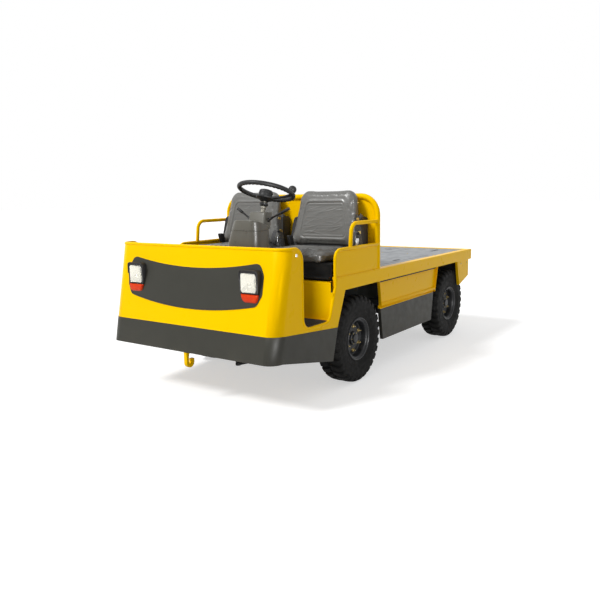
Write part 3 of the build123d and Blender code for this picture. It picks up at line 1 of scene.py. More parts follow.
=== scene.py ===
"""Looks of the electric platform truck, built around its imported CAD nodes.

Everything is in metres in the frame of the CAD: +Z up, the nose towards -Y, the driver's side towards +X.
"""

import itertools
import json
import math

import bmesh
import bpy
import numpy as np
from mathutils import Matrix, Vector


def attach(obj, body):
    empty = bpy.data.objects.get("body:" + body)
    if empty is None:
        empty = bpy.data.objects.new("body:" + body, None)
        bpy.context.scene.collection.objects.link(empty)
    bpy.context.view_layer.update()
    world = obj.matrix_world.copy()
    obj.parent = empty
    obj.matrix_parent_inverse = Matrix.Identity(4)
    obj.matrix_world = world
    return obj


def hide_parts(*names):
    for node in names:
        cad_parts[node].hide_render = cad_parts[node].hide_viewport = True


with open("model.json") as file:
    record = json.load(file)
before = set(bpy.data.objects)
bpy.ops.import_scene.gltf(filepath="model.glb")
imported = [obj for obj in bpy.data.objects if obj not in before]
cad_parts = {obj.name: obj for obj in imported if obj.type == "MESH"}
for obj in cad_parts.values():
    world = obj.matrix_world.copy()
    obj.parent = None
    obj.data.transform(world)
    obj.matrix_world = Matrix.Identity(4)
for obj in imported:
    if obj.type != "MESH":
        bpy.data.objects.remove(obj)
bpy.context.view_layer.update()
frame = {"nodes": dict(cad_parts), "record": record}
NODES = frame["nodes"]
MM = 0.001

# Places and sizes shared with the part's solids
TYRE_R = 0.295
FRONT_AXLE_Y = -0.541
REAR_AXLE_Y = 1.079
WHEELS = {
    "front_left": (0.611, FRONT_AXLE_Y, 1),
    "front_right": (-0.611, FRONT_AXLE_Y, -1),
    "rear_left": (0.580, REAR_AXLE_Y, 1),
    "rear_right": (-0.580, REAR_AXLE_Y, -1),
}
SEAT_X = 0.332
SEAT_TOP = 0.8223
DECK_LOW, DECK_TOP = 0.731, 0.736
RING_CENTRE = np.array([0.300, -1.015, 1.282])
RING_R = 0.170
GRIP_R = 0.0145
COLUMN_TILT = math.radians(19.0)


# Mesh tools
def surface(points, close_u=False, close_v=False, cap_first=False, cap_last=False):
    """Vertices and faces of a grid of points: quads between neighbouring grid lines, wrapped round
    where a way is closed, and a fan of triangles from a row's middle point where it is capped."""
    rows, columns = points.shape[:2]
    u = np.arange(rows if close_u else rows - 1)
    v = np.arange(columns if close_v else columns - 1)
    u, v = np.meshgrid(u, v, indexing="ij")
    nu, nv = (u + 1) % rows, (v + 1) % columns
    quads = np.stack([u * columns + v, nu * columns + v, nu * columns + nv, u * columns + nv], -1)
    verts = points.reshape(-1, 3)
    faces = quads.reshape(-1, 4).tolist()
    for wanted, row in ((cap_first, 0), (cap_last, rows - 1)):
        if wanted:
            ring = row * columns + np.arange(columns)
            middle = np.full(columns, len(verts))
            verts = np.vstack([verts, points[row].mean(axis=0)])
            faces += np.stack([ring, np.roll(ring, -1), middle], -1).tolist()
    return verts, faces


def closed_up(loops):
    """A closed form through a stack of loops, with a fan over the first and over the last."""
    return surface(np.array(loops), close_v=True, cap_first=True, cap_last=True)


def joined(shapes):
    """One list of vertices and faces out of several."""
    verts, faces, start = [], [], 0
    for points, quads in shapes:
        verts.append(points)
        faces += [[i + start for i in face] for face in quads]
        start += len(points)
    return np.vstack(verts), faces


def placed(shape, origin, x_axis=(1, 0, 0), y_axis=(0, 1, 0), z_axis=(0, 0, 1)):
    """A shape moved to an origin and turned onto three axes."""
    axes = np.array([x_axis, y_axis, z_axis], float)
    return shape[0] @ axes + np.array(origin, float), shape[1]


def flipped(shape):
    """A shape's mirror image across the middle plane."""
    return shape[0] * np.array([-1.0, 1.0, 1.0]), shape[1]


def mirrored(shape):
    """A shape and its mirror image."""
    return joined([shape, flipped(shape)])


def linked(name, data):
    """A new object in the scene."""
    made = bpy.data.objects.new(name, data)
    bpy.context.scene.collection.objects.link(made)
    return made


def clean_mesh(name, shape):
    """A mesh out of vertices and faces, its doubles merged and its normals outward."""
    mesh = bpy.data.meshes.new(name)
    mesh.from_pydata(shape[0].tolist(), [], shape[1])
    work = bmesh.new()
    work.from_mesh(mesh)
    bmesh.ops.remove_doubles(work, verts=work.verts, dist=1e-6)
    bmesh.ops.recalc_face_normals(work, faces=work.faces)
    work.to_mesh(mesh)
    work.free()
    return mesh


def piece(name, shape, body, material, sharp=40.0, replaces=()):
    """A named object out of a shape, riding on its body, smooth but for edges sharper than an angle."""
    mesh = clean_mesh(name, shape)
    mesh.polygons.foreach_set("use_smooth", np.ones(len(mesh.polygons), bool))
    mesh.set_sharp_from_angle(angle=math.radians(sharp))
    mesh.materials.append(material)
    made = linked(name, mesh)
    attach(made, body)
    if replaces:
        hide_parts(*replaces)
    return made


def slot_piece(name, shape, body, slot, sharp=40.0, replaces=()):
    """A piece in the finish of a CAD slot."""
    return piece(name, shape, body, MATERIALS[slot], sharp, replaces)


def edged(made, width, angle=30.0, harden=False):
    """A bevel on the edges of an object that are sharper than an angle."""
    bevel = made.modifiers.new("edge", "BEVEL")
    bevel.limit_method = "ANGLE"
    bevel.angle_limit = math.radians(angle)
    bevel.width = width
    bevel.segments = 2
    bevel.harden_normals = harden


# Shape tools
def smooth_step(low, high, value):
    """0 at low, 1 at high, 3 t^2 - 2 t^3 between."""
    t = np.clip((value - low) / (high - low), 0.0, 1.0)
    return t * t * (3 - 2 * t)


def dip(distance, width):
    """A groove's share at a distance from its line: exp(-(d/w)^2)."""
    return np.exp(-((distance / width) ** 2))


def powered(wave, power):
    """A wave's size raised to a power, its sign kept: below 1 it makes a circle squarer."""
    return np.sign(wave) * np.abs(wave) ** power


def round_turn(count):
    """Angles evenly spaced over a full turn."""
    return np.linspace(0, 2 * np.pi, count, endpoint=False)


def at_level(loop, z):
    """A flat loop lifted to a level."""
    return np.column_stack([loop, np.full(len(loop), z)])


def lathe(profile, turns=96):
    """A profile of (x, radius) pairs in mm turned about the X axis: at angle a each point is at
    (x, radius cos a, radius sin a)."""
    profile = np.array(profile, float) * MM
    angle = round_turn(turns)[:, None]
    x = np.broadcast_to(profile[:, 0], (turns, len(profile)))
    points = np.stack([x, np.cos(angle) * profile[:, 1], np.sin(angle) * profile[:, 1]], -1)
    return surface(points, close_u=True)


def turned_up(profile, turns=64):
    """A profile of (radius, z) pairs in mm turned about the Z axis: at angle a each point is at
    (radius cos a, radius sin a, z)."""
    profile = np.array(profile, float) * MM
    angle = round_turn(turns)[:, None]
    z = np.broadcast_to(profile[:, 1], (turns, len(profile)))
    points = np.stack([np.cos(angle) * profile[:, 0], np.sin(angle) * profile[:, 0], z], -1)
    return surface(points, close_u=True)


def corner_arc(before, corner, after, radius, count):
    """A path's corner made round: the quadratic (1 - t)^2 start + 2 t (1 - t) corner + t^2 end, from start
    to end, the points a radius away from the corner on its two runs."""
    runs = (before - corner, after - corner)
    start, end = [corner + run / np.linalg.norm(run) * radius for run in runs]
    t = np.linspace(0, 1, count)[:, None]
    return (1 - t) ** 2 * start + 2 * t * (1 - t) * corner + t**2 * end


def rounded(corners, radius, count):
    """A path whose inner corners are made round."""
    corners = np.array(corners, float)
    arcs = [corner_arc(*three, radius, count) for three in zip(corners[:-2], corners[1:-1], corners[2:])]
    return np.vstack([corners[:1], *arcs, corners[-1:]])


def corner_loop(corners, count=7):
    """A closed outline whose corners, given as (x, z, radius), are made round."""
    corners = np.array(corners)
    places, radii = corners[:, :2], corners[:, 2]
    rows = zip(np.roll(places, 1, axis=0), places, np.roll(places, -1, axis=0), radii)
    return np.vstack([corner_arc(*row, count) for row in rows])


def by_angle(outline, middle):
    """An outline's points in order of their angle about a middle."""
    away = outline - np.array(middle)
    return outline[np.argsort(np.arctan2(away[:, 1], away[:, 0]))]


def rounded_loop(width, height, radius, per_corner=8):
    """Points round a rounded rectangle: a quarter circle at each corner, joined by straight runs."""
    radius = max(min(radius, width / 2, height / 2), 1e-5)
    turn = np.linspace(0, np.pi / 2, per_corner)
    angle = (np.arange(4)[:, None] * np.pi / 2 + turn).ravel()
    side = np.repeat([[1, 1], [-1, 1], [-1, -1], [1, -1]], per_corner, axis=0)
    centre = side * [width / 2 - radius, height / 2 - radius]
    return centre + radius * np.stack([np.cos(angle), np.sin(angle)], -1)


def rims(back_r, front_r, depth, steps):
    """Inset and level of the loops that turn both rims of a plate with quarter circles: from inset back_r
    at level 0 out to 0, then up, and in again to front_r at the depth."""
    turn = np.linspace(0, np.pi / 2, steps + 1)
    inset = np.concatenate([back_r * (1 - np.sin(turn)), front_r * (1 - np.cos(turn))])
    level = np.concatenate([back_r * (1 - np.cos(turn)), depth - front_r * (1 - np.sin(turn))])
    return inset, level


# Shares of the way in at which a slab's crown has its loops
CROWN_LOOPS = np.array([0.25, 0.5, 0.75, 0.96])


def slab(width, height, radius, thickness, bevel, per_corner=8, steps=3, crown=0.0):
    """A rounded plate from z 0 to its thickness: loops of a rounded rectangle that draw in by a quarter
    circle at both rims, and a top that rises by the crown, the sine of an angle from 0.4 to pi/2."""
    inset, level = rims(bevel, bevel, thickness, steps)
    inset = np.concatenate([inset, bevel + CROWN_LOOPS * (min(width, height) / 2 - bevel)])
    level = np.concatenate([level, thickness + crown * np.sin(np.linspace(0.4, np.pi / 2, len(CROWN_LOOPS)))])
    loops = [rounded_loop(width - 2 * i, height - 2 * i, radius - i, per_corner) for i in inset]
    return closed_up([at_level(loop, z) for loop, z in zip(loops, level)])


def box_shape(corner, opposite, bevel=0.0015):
    """An upright rounded box between two opposite corners."""
    low, high = np.minimum(corner, opposite), np.maximum(corner, opposite)
    size, middle = high - low, (low + high) / 2
    shape = slab(size[0], size[1], bevel, size[2], min(bevel, size[2] / 3), per_corner=3, steps=2)
    return placed(shape, (middle[0], middle[1], low[2]))


def tube(path, radius, sides=16, up=(0, 0, 1)):
    """A round bar along a path: at each point a circle square to the run, its radius one number or one
    for each point."""
    path = np.array(path, float)
    run = np.gradient(path, axis=0)
    run /= np.linalg.norm(run, axis=1)[:, None]
    across = np.cross(run, np.array(up, float))
    across /= np.linalg.norm(across, axis=1)[:, None]
    over = np.cross(across, run)
    angle = round_turn(sides)[:, None]
    radius = np.broadcast_to(np.array(radius, float), len(path))[:, None, None]
    circle = across[:, None] * np.cos(angle) + over[:, None] * np.sin(angle)
    return closed_up(path[:, None] + radius * circle)


def strap(path, width, thickness, side):
    """Flat webbing along a path: at each point a thin rounded section, its long way along the side vector
    and its short way along the cross product of side and run."""
    path = np.array(path, float)
    run = np.gradient(path, axis=0)
    run /= np.linalg.norm(run, axis=1)[:, None]
    wide = np.broadcast_to(np.array(side, float), path.shape)
    wide = wide - (wide * run).sum(1)[:, None] * run
    wide /= np.linalg.norm(wide, axis=1)[:, None]
    over = np.cross(wide, run)
    angle = round_turn(16)
    across = (powered(np.cos(angle), 0.25) * width / 2)[:, None]
    high = (powered(np.sin(angle), 0.8) * thickness / 2)[:, None]
    return closed_up(path[:, None] + wide[:, None] * across + over[:, None] * high)


def smooth_path(corners, count=48):
    """A curve through corners: between two of them each coordinate is a cubic, which passes each corner in
    the direction of the line between its neighbours."""
    p = np.array(corners, float)
    p = np.vstack([2 * p[0] - p[1], p, 2 * p[-1] - p[-2]])
    t = np.linspace(0, 1, max(3, count // (len(p) - 3)), endpoint=False)[:, None]
    found = []
    for a, b, c, d in zip(p[:-3], p[1:-2], p[2:-1], p[3:]):
        bend = (2 * a - 5 * b + 4 * c - d) * t**2 + (3 * b - a - 3 * c + d) * t**3
        found.append(0.5 * (2 * b + (c - a) * t + bend))
    return np.vstack([*found, p[-2:-1]])


def axes_along(axis):
    """Three square axes, the last one along a given line, the first its cross product with a slanting one."""
    axis = np.array(axis, float) / np.linalg.norm(axis)
    side = np.cross(axis, [0.3, 0.5, 0.81])
    side /= np.linalg.norm(side)
    return side, np.cross(axis, side), axis


def bolt(origin, axis, radius, height, washer=True):
    """Hexagon head on a washer: a six-sided loop drawn in at its top edge, over a rounded disc."""
    angle = round_turn(6)
    hexagon = np.stack([np.cos(angle), np.sin(angle)], -1) * radius
    foot = 0.25 * height if washer else 0.0
    shapes = [closed_up([
        at_level(hexagon, foot),
        at_level(hexagon, height - 0.18 * radius),
        at_level(hexagon * 0.84, height),
    ])]
    if washer:
        across = 2.9 * radius
        shapes.append(slab(across, across, across / 2, foot, 0.3 * foot, per_corner=6, steps=1))
    return placed(joined(shapes), origin, *axes_along(axis))


# A round screw head's profile, radius and level as shares of its radius
DOME = np.array([(0, 0.55), (0.35, 0.5), (0.7, 0.34), (0.95, 0.08), (1, 0), (0, 0)])


def dome_screw(origin, axis, radius):
    """A round-headed screw: the dome's profile turned about its axis."""
    return placed(turned_up(DOME * radius / MM, 16), origin, *axes_along(axis))


# Materials
class Finish:
    """A material whose nodes are added in few words; it starts with a Principled shader."""

    def __init__(self, name, colour, roughness, metallic=0.0, **sockets):
        self.material = bpy.data.materials.new(name)
        self.material.use_nodes = True
        self.tree = self.material.node_tree
        self.shader = self.tree.nodes["Principled BSDF"]
        self.base = colour
        self.set("Base Color", (*colour, 1.0))
        self.set("Roughness", roughness)
        self.set("Metallic", metallic)
        for socket, value in sockets.items():
            self.set(socket.replace("_", " "), value)
        self.place = self.add("ShaderNodeTexCoord").outputs["Object"]
        self.bumped = None

    def set(self, socket, value):
        self.shader.inputs[socket].default_value = value

    def add(self, kind, **settings):
        node = self.tree.nodes.new(kind)
        for key, value in settings.items():
            setattr(node, key, value)
        return node

    def link(self, start, end):
        self.tree.links.new(start, end)

    def noise(self, scale, detail=3.0, roughness=0.55, stretch=None):
        node = self.add("ShaderNodeTexNoise")
        node.inputs["Scale"].default_value = scale
        node.inputs["Detail"].default_value = detail
        node.inputs["Roughness"].default_value = roughness
        place = self.place
        if stretch:
            mapping = self.add("ShaderNodeMapping")
            mapping.inputs["Scale"].default_value = stretch
            self.link(place, mapping.inputs["Vector"])
            place = mapping.outputs["Vector"]
        self.link(place, node.inputs["Vector"])
        return node.outputs["Fac"]

    def cells(self, scale):
        node = self.add("ShaderNodeTexVoronoi")
        node.inputs["Scale"].default_value = scale
        self.link(self.place, node.inputs["Vector"])
        return node.outputs["Distance"]

    def waves(self, scale, direction):
        node = self.add("ShaderNodeTexWave", bands_direction=direction)
        node.inputs["Scale"].default_value = scale
        self.link(self.place, node.inputs["Vector"])
        return node.outputs["Fac"]

    def ramp(self, value, low, high, at_low=0.0, at_high=1.0):
        node = self.add("ShaderNodeMapRange")
        numbers = {"From Min": low, "From Max": high, "To Min": at_low, "To Max": at_high}
        for socket, number in numbers.items():
            node.inputs[socket].default_value = number
        self.link(value, node.inputs["Value"])
        return node.outputs["Result"]

    def tint(self, share, colour):
        """Mixes the colour so far towards another by a share."""
        node = self.add("ShaderNodeMix", data_type="RGBA")
        self.link(share, node.inputs["Factor"])
        link = self.shader.inputs["Base Color"].links
        if link:
            self.link(link[0].from_socket, node.inputs["A"])
        else:
            node.inputs["A"].default_value = (*self.base, 1.0)
        node.inputs["B"].default_value = (*colour, 1.0)
        self.link(node.outputs["Result"], self.shader.inputs["Base Color"])

    def patches(self, pattern, low, high, amount, colour):
        """Tints towards a colour where a pattern rises from low to high, by the amount at most."""
        self.tint(self.ramp(pattern, low, high, 0.0, amount), colour)

    def grime(self, low, high, colour, amount):
        """Dust that thins out from a low to a high level, broken up by noise."""
        split = self.add("ShaderNodeSeparateXYZ")
        self.link(self.place, split.inputs["Vector"])
        both = self.add("ShaderNodeMath", operation="MULTIPLY")
        self.link(self.ramp(split.outputs["Z"], low, high, amount, 0.0), both.inputs[0])
        self.link(self.ramp(self.noise(9.0, 6.0), 0.35, 0.7), both.inputs[1])
        self.tint(both.outputs["Value"], colour)

    def rough(self, pattern, low, high):
        self.link(self.ramp(pattern, 0.3, 0.7, low, high), self.shader.inputs["Roughness"])

    def bump(self, pattern, strength, distance):
        node = self.add("ShaderNodeBump")
        node.inputs["Strength"].default_value = strength
        node.inputs["Distance"].default_value = distance
        self.link(pattern, node.inputs["Height"])
        if self.bumped:
            self.link(self.bumped, node.inputs["Normal"])
        self.bumped = node.outputs["Normal"]
        self.link(self.bumped, self.shader.inputs["Normal"])


def yellow_paint():
    """Body paint: broad patches of a second yellow, small worn specks, dust low down and a fine skin."""
    gloss = dict(Specular_IOR_Level=0.09, Specular_Tint=(1.0, 0.62, 0.0, 1.0))
    finish = Finish("yellow_paint", (1.0, 0.585, 0.0), 0.32, **gloss)
    finish.patches(finish.noise(2.2, 2.0), 0.4, 0.7, 0.3, (1.0, 0.605, 0.0))
    finish.patches(finish.noise(55.0, 6.0, 0.7), 0.66, 0.8, 0.10, (0.62, 0.36, 0.0))
    finish.grime(0.18, 0.50, (0.40, 0.26, 0.02), 0.12)
    finish.rough(finish.noise(14.0, 4.0), 0.26, 0.36)
    finish.bump(finish.noise(420.0, 1.0), 0.05, 0.0006)
    finish.bump(finish.noise(6.0, 2.0), 0.08, 0.002)
    return finish.material


def grey_paint():
    """Paint of the dark sheets: lighter patches, dust low down and a fine skin."""
    finish = Finish("grey_paint", (0.036, 0.0355, 0.028), 0.44, Specular_IOR_Level=0.2)
    finish.patches(finish.noise(3.5, 3.0), 0.4, 0.7, 0.4, (0.043, 0.042, 0.034))
    finish.grime(0.2, 0.45, (0.11, 0.095, 0.07), 0.22)
    finish.rough(finish.noise(18.0, 4.0), 0.38, 0.54)
    finish.bump(finish.noise(380.0, 1.0), 0.08, 0.0006)
    return finish.material


def black_paint():
    """Paint of the frame and the axles, with brownish road dirt in patches."""
    finish = Finish("black_paint", (0.005, 0.005, 0.005), 0.5, Specular_IOR_Level=0.18)
    finish.patches(finish.noise(11.0, 6.0), 0.48, 0.72, 0.4, (0.022, 0.019, 0.015))
    finish.rough(finish.noise(30.0, 5.0), 0.42, 0.72)
    finish.bump(finish.noise(260.0, 3.0), 0.15, 0.001)
    return finish.material


def moulding(name, colour, grain=900.0, roughness=0.5):
    """Moulded plastic: a leather-like cell grain and slight lighter patches of painted sheen."""
    finish = Finish(name, colour, roughness, Specular_IOR_Level=0.35)
    # Painted sheen: broad noise patches tinted half again lighter
    lighter = tuple(min(1.0, c * 1.5) for c in colour)
    finish.patches(finish.noise(8.0, 3.0), 0.4, 0.7, 0.3, lighter)
    finish.rough(finish.noise(25.0, 3.0), roughness - 0.08, roughness + 0.1)
    finish.bump(finish.cells(grain), 0.12, 0.0005)
    return finish.material


def tyre_rubber():
    """Nearly matt rubber with paler dry patches."""
    finish = Finish("tyre_rubber", (0.0065, 0.0064, 0.0060), 0.6, Specular_IOR_Level=0.10)
    finish.patches(finish.noise(13.0, 6.0), 0.45, 0.75, 0.4, (0.016, 0.015, 0.013))
    finish.rough(finish.noise(40.0, 5.0), 0.55, 0.82)
    finish.bump(finish.noise(180.0, 4.0), 0.25, 0.001)
    return finish.material


def wheel_paint():
    """Dark paint of the wheel discs under a thin coat."""
    coat = dict(Specular_IOR_Level=0.35, Coat_Weight=0.1, Coat_Roughness=0.3)
    finish = Finish("wheel_paint", (0.007, 0.008, 0.010), 0.34, **coat)
    finish.patches(finish.noise(20.0, 6.0), 0.5, 0.75, 0.4, (0.022, 0.020, 0.018))
    finish.rough(finish.noise(35.0, 4.0), 0.3, 0.6)
    finish.bump(finish.noise(300.0, 2.0), 0.1, 0.0008)
    return finish.material


def deck_plate():
    """Blue-grey steel sheet: darker clouds and pale scuffs that run along the deck."""
    finish = Finish("deck_plate", (0.21, 0.225, 0.243), 0.42, metallic=0.2)
    finish.patches(finish.noise(5.0, 6.0, 0.65), 0.42, 0.7, 0.6, (0.11, 0.12, 0.135))
    scuffs = finish.noise(60.0, 6.0, 0.7, (1.0, 0.12, 1.0))
    finish.patches(scuffs, 0.6, 0.75, 0.5, (0.33, 0.35, 0.37))
    finish.rough(finish.noise(16.0, 5.0), 0.3, 0.55)
    finish.bump(finish.noise(120.0, 4.0), 0.12, 0.0008)
    return finish.material


def vinyl():
    """Seat vinyl under clear film: a thin coat, a fine grain and shallow creases."""
    film = dict(Specular_IOR_Level=0.35, Coat_Weight=0.30, Coat_Roughness=0.2)
    finish = Finish("seat_vinyl", (0.132, 0.131, 0.122), 0.42, **film)
    finish.patches(finish.noise(5.0, 4.0), 0.4, 0.7, 0.5, (0.104, 0.104, 0.099))
    finish.rough(finish.noise(22.0, 4.0), 0.34, 0.52)
    finish.bump(finish.cells(650.0), 0.12, 0.0005)
    finish.bump(finish.noise(30.0, 4.0, 0.6, (0.3, 1.0, 1.6)), 0.35, 0.0035)
    return finish.material


def metal(name, colour, roughness, brushed=120.0, marks=0.08, patches=0.4):
    """Bare or plated metal with fine brushing."""
    finish = Finish(name, colour, roughness, metallic=1.0)
    finish.patches(finish.noise(26.0, 5.0), 0.45, 0.7, patches, tuple(c * 0.7 for c in colour))
    finish.rough(finish.noise(50.0, 4.0), roughness - 0.06, roughness + 0.14)
    finish.bump(finish.noise(brushed, 2.0, 0.5, (1.0, 1.0, 9.0)), marks, 0.0004)
    return finish.material


def lens_glass():
    """Clear glass, very slightly uneven."""
    finish = Finish("lens_glass", (0.98, 0.98, 0.96), 0.03, Transmission_Weight=1.0, IOR=1.45)
    finish.rough(finish.noise(60.0, 2.0), 0.01, 0.04)
    finish.bump(finish.noise(18.0, 1.0), 0.02, 0.0004)
    return finish.material


def coloured_lens(name, colour, glow):
    """Coloured lens plastic: brighter patches of painted glint, and a prism grain that scatters light."""
    finish = Finish(name, colour, 0.2, Transmission_Weight=0.1, IOR=1.49, Specular_IOR_Level=0.15)
    # Painted glint: patches tinted towards a brighter colour, light painted into the unlit lens
    finish.patches(finish.noise(35.0, 3.0), 0.4, 0.7, 0.5, glow)
    finish.rough(finish.noise(40.0, 2.0), 0.12, 0.22)
    finish.bump(finish.cells(240.0), 0.35, 0.001)
    return finish.material


def webbing_cloth():
    """Belt webbing: fine ribs across, in colour and in relief."""
    finish = Finish("webbing", (0.012, 0.012, 0.013), 0.7, Sheen_Weight=0.3)
    finish.patches(finish.waves(300.0, "Y"), 0.2, 0.8, 0.6, (0.035, 0.035, 0.037))
    finish.bump(finish.waves(300.0, "Y"), 0.4, 0.0008)
    return finish.material


MATERIALS = {
    "yellow_paint": yellow_paint(),
    "grey_paint": grey_paint(),
    "black_paint": black_paint(),
    "black_plastic": moulding("black_plastic", (0.009, 0.009, 0.0095)),
    "grey_plastic": moulding("grey_plastic", (0.108, 0.103, 0.084), 700.0, 0.33),
    "clear_lens": lens_glass(),
    # The third colour of each lens is the painted glint of its brighter patches
    "amber_lens": coloured_lens("amber_lens", (0.74, 0.036, 0.0), (0.90, 0.085, 0.0)),
    "red_lens": coloured_lens("red_lens", (0.42, 0.006, 0.006), (0.7, 0.03, 0.02)),
    "floor_rubber": moulding("floor_rubber", (0.02, 0.02, 0.019), 500.0, 0.6),
    "deck_plate": deck_plate(),
    "battery_case": moulding("battery_case", (0.03, 0.04, 0.037), 300.0, 0.55),
    "seat_vinyl": vinyl(),
    "tyre": tyre_rubber(),
    "wheel_paint": wheel_paint(),
}
ZINC = metal("zinc_plate", (0.50, 0.38, 0.14), 0.36)
NUT_STEEL = metal("dull_zinc", (0.20, 0.155, 0.07), 0.42)
STEEL = metal("bright_steel", (0.55, 0.56, 0.57), 0.28)
REFLECTOR = metal("reflector", (0.86, 0.84, 0.76), 0.16, 40.0, 0.01, 0.06)
NECK_STEEL = metal("neck_steel", (0.16, 0.152, 0.13), 0.38)
WEBBING = webbing_cloth()

# CAD nodes: each in the finish of its slot, welded, with a fine bevel, a wider one on castings and rails
NODE_BEVEL = 1.2 * MM
HEAVY_BEVEL = 2.0 * MM
HEAVY_NODES = ("front_axle", "rear_axle", "chassis_rails")
SLOT_OF = {row["node"]: row["material_slot"] for row in frame["record"]["subparts"]}
for name, node in NODES.items():
    for holder in node.material_slots:
        holder.material = MATERIALS[SLOT_OF[name]]
    weld = node.modifiers.new("weld", "WELD")
    weld.merge_threshold = 1e-5
    edged(node, HEAVY_BEVEL if name in HEAVY_NODES else NODE_BEVEL, 40.0, harden=True)

# Tyres: a section's rows are x and depth below the tyre's radius in mm, first of a groove's floor, then
# of a lug's top
TYRE_ROWS = (
    (-2.0, 15.0, -2.0, 15.0),
    (3.0, 15.0, 3.0, 15.0),
    (6.0, 14.8, 6.0, 4.5),
    (8.5, 14.5, 8.5, 0.8),
    (20.0, 14.5, 20.0, 0.0),
    (40.0, 14.5, 40.0, 0.2),
    (54.0, 15.5, 56.0, 1.6),
    (61.0, 17.5, 67.0, 4.4),
    (67.0, 21.5, 75.0, 9.5),
    (73.5, 25.0, 80.0, 18.0),
    (78.6, 33.0, 82.0, 27.5),
    (82.0, 38.5, 82.9, 36.5),
    (82.6, 45.0, 82.7, 44.5),
    (82.0, 54.0, 82.0, 54.0),
    (83.6, 66.0, 83.6, 66.0),
    (83.2, 82.0, 83.2, 82.0),
    (81.4, 98.0, 81.4, 98.0),
    (80.6, 102.0, 80.6, 102.0),
    (81.6, 104.0, 81.6, 104.0),
    (80.2, 107.5, 80.2, 107.5),
    (78.0, 120.0, 78.0, 120.0),
    (75.0, 134.0, 75.0, 134.0),
    (73.6, 138.0, 73.6, 138.0),
    (73.8, 142.0, 73.8, 142.0),
    (70.0, 150.0, 70.0, 150.0),
    (66.0, 158.0, 66.0, 158.0),
    (62.0, 167.5, 62.0, 167.5),
    (-2.0, 167.5, -2.0, 167.5),
)
LUGS = 30
LUG_STOPS = np.array([0.0, 0.16, 0.19, 0.225, 0.5, 0.775, 0.81, 0.84])
LUG_HIGH = np.array([0.0, 0.0, 0.55, 1.0, 1.0, 1.0, 0.55, 0.0])
LUG_SLANT = 0.42
SLANT_END_X = 0.07


def half_tyre(stagger):
    """The +X half of a tyre about the X axis. Each point of the section is floor + h (top - floor); h is a
    flat-topped wave of the angle, LUGS waves a turn, begun a stagger of a pitch later and pushed round by
    a share of a pitch that grows with x up to SLANT_END_X, so that the lugs slant."""
    rows = np.array(TYRE_ROWS) * MM
    pitch = 2 * np.pi / LUGS
    angle = ((np.arange(LUGS)[:, None] + LUG_STOPS + stagger) * pitch).ravel()[:, None]
    high = np.tile(LUG_HIGH, LUGS)[:, None]
    x = rows[:, 0] + high * (rows[:, 2] - rows[:, 0])
    radius = TYRE_R - rows[:, 1] - high * (rows[:, 3] - rows[:, 1])
    turned = angle + LUG_SLANT * pitch * np.clip(rows[:, 0] / SLANT_END_X, 0.0, 1.0)
    points = np.stack([x, radius * np.cos(turned), radius * np.sin(turned)], -1)
    return surface(points, close_u=True, close_v=True)


# Wheel: (x, radius) in mm from the cap's middle out over the disc, the lip and the barrel, and back inside
RIM_PROFILE = (
    (56.0, 0.0), (56.0, 24.0), (55.0, 28.5), (52.5, 31.2), (49.0, 32.0), (43.5, 32.0), (43.0, 34.0),
    (42.0, 44.0), (40.0, 46.0), (26.0, 46.5), (23.0, 49.0), (22.0, 54.0), (22.0, 60.0), (26.0, 66.0),
    (27.0, 74.0), (26.0, 92.0), (22.0, 99.0), (17.0, 104.0), (16.0, 112.0), (20.0, 117.5), (30.0, 119.5),
    (52.0, 120.5), (62.0, 123.0), (65.0, 126.0), (66.5, 129.0), (66.0, 131.0), (67.5, 132.5), (70.0, 132.6),
    (71.2, 134.5), (72.6, 135.0), (75.2, 137.5), (76.0, 141.0), (74.6, 144.0), (71.5, 144.6), (68.0, 142.0),
    (66.8, 136.0), (66.8, 126.7), (-66.8, 126.7), (-66.8, 136.0), (-69.0, 141.0), (-72.0, 142.0),
    (-74.0, 139.0), (-72.5, 133.0), (-66.0, 127.0), (-60.0, 121.5), (0.0, 119.0), (10.0, 116.0),
    (11.0, 104.0), (14.0, 96.0), (14.0, 70.0), (12.0, 60.0), (10.0, 50.0), (-46.0, 46.0), (-48.0, 44.0),
    (-48.0, 22.3), (38.0, 22.3), (38.0, 0.0),
)
# Wheel nuts, their studs as (x, radius) and the cap's screws: circle's radius, foot, head's radius, height
NUT_PITCH_R, NUT_FOOT, NUT_R, NUT_H = 0.0825, 0.0268, 0.0098, 0.0125
STUD = ((0.036, 0.0048), (0.0465, 0.0048), (0.0475, 0.004))
CAP_PITCH_R, CAP_FOOT, CAP_SCREW_R, CAP_SCREW_H = 0.0395, 0.0425, 0.004, 0.004
# Valve: x, distance from the axle and radius, in mm
VALVE = (
    (16, 109, 6.5), (30, 109, 6.5), (34, 109, 4.0), (50, 109.5, 3.6), (51, 109.5, 4.6), (60, 110, 4.6),
    (60.5, 110, 3.4),
)


def around(count, radius, start=0.0):
    """Points evenly spaced on a circle in the YZ plane."""
    angle = start + 2 * np.pi * np.arange(count) / count
    return np.stack([radius * np.cos(angle), radius * np.sin(angle)], -1)


def wheel_nuts():
    """Six hexagon nuts with stud ends, and six small screws in the hub's cap."""
    shapes = []
    radii = [radius for _, radius in STUD]
    for y, z in around(6, NUT_PITCH_R, math.radians(30)):
        shapes.append(bolt((NUT_FOOT, y, z), (1, 0, 0), NUT_R, NUT_H))
        shapes.append(tube([(x, y, z) for x, _ in STUD], radii, 12, up=(0, 0.3, 1)))
    for y, z in around(6, CAP_PITCH_R):
        shapes.append(bolt((CAP_FOOT, y, z), (1, 0, 0), CAP_SCREW_R, CAP_SCREW_H, washer=False))
    return joined(shapes)


def valve():
    """Rubber valve stem with a cap: a bar whose radius steps along its run."""
    x, out, radius = np.array(VALVE).T * MM
    return tube(np.stack([x, np.zeros_like(x), out], -1), radius, 14, up=(0, 1, 0))


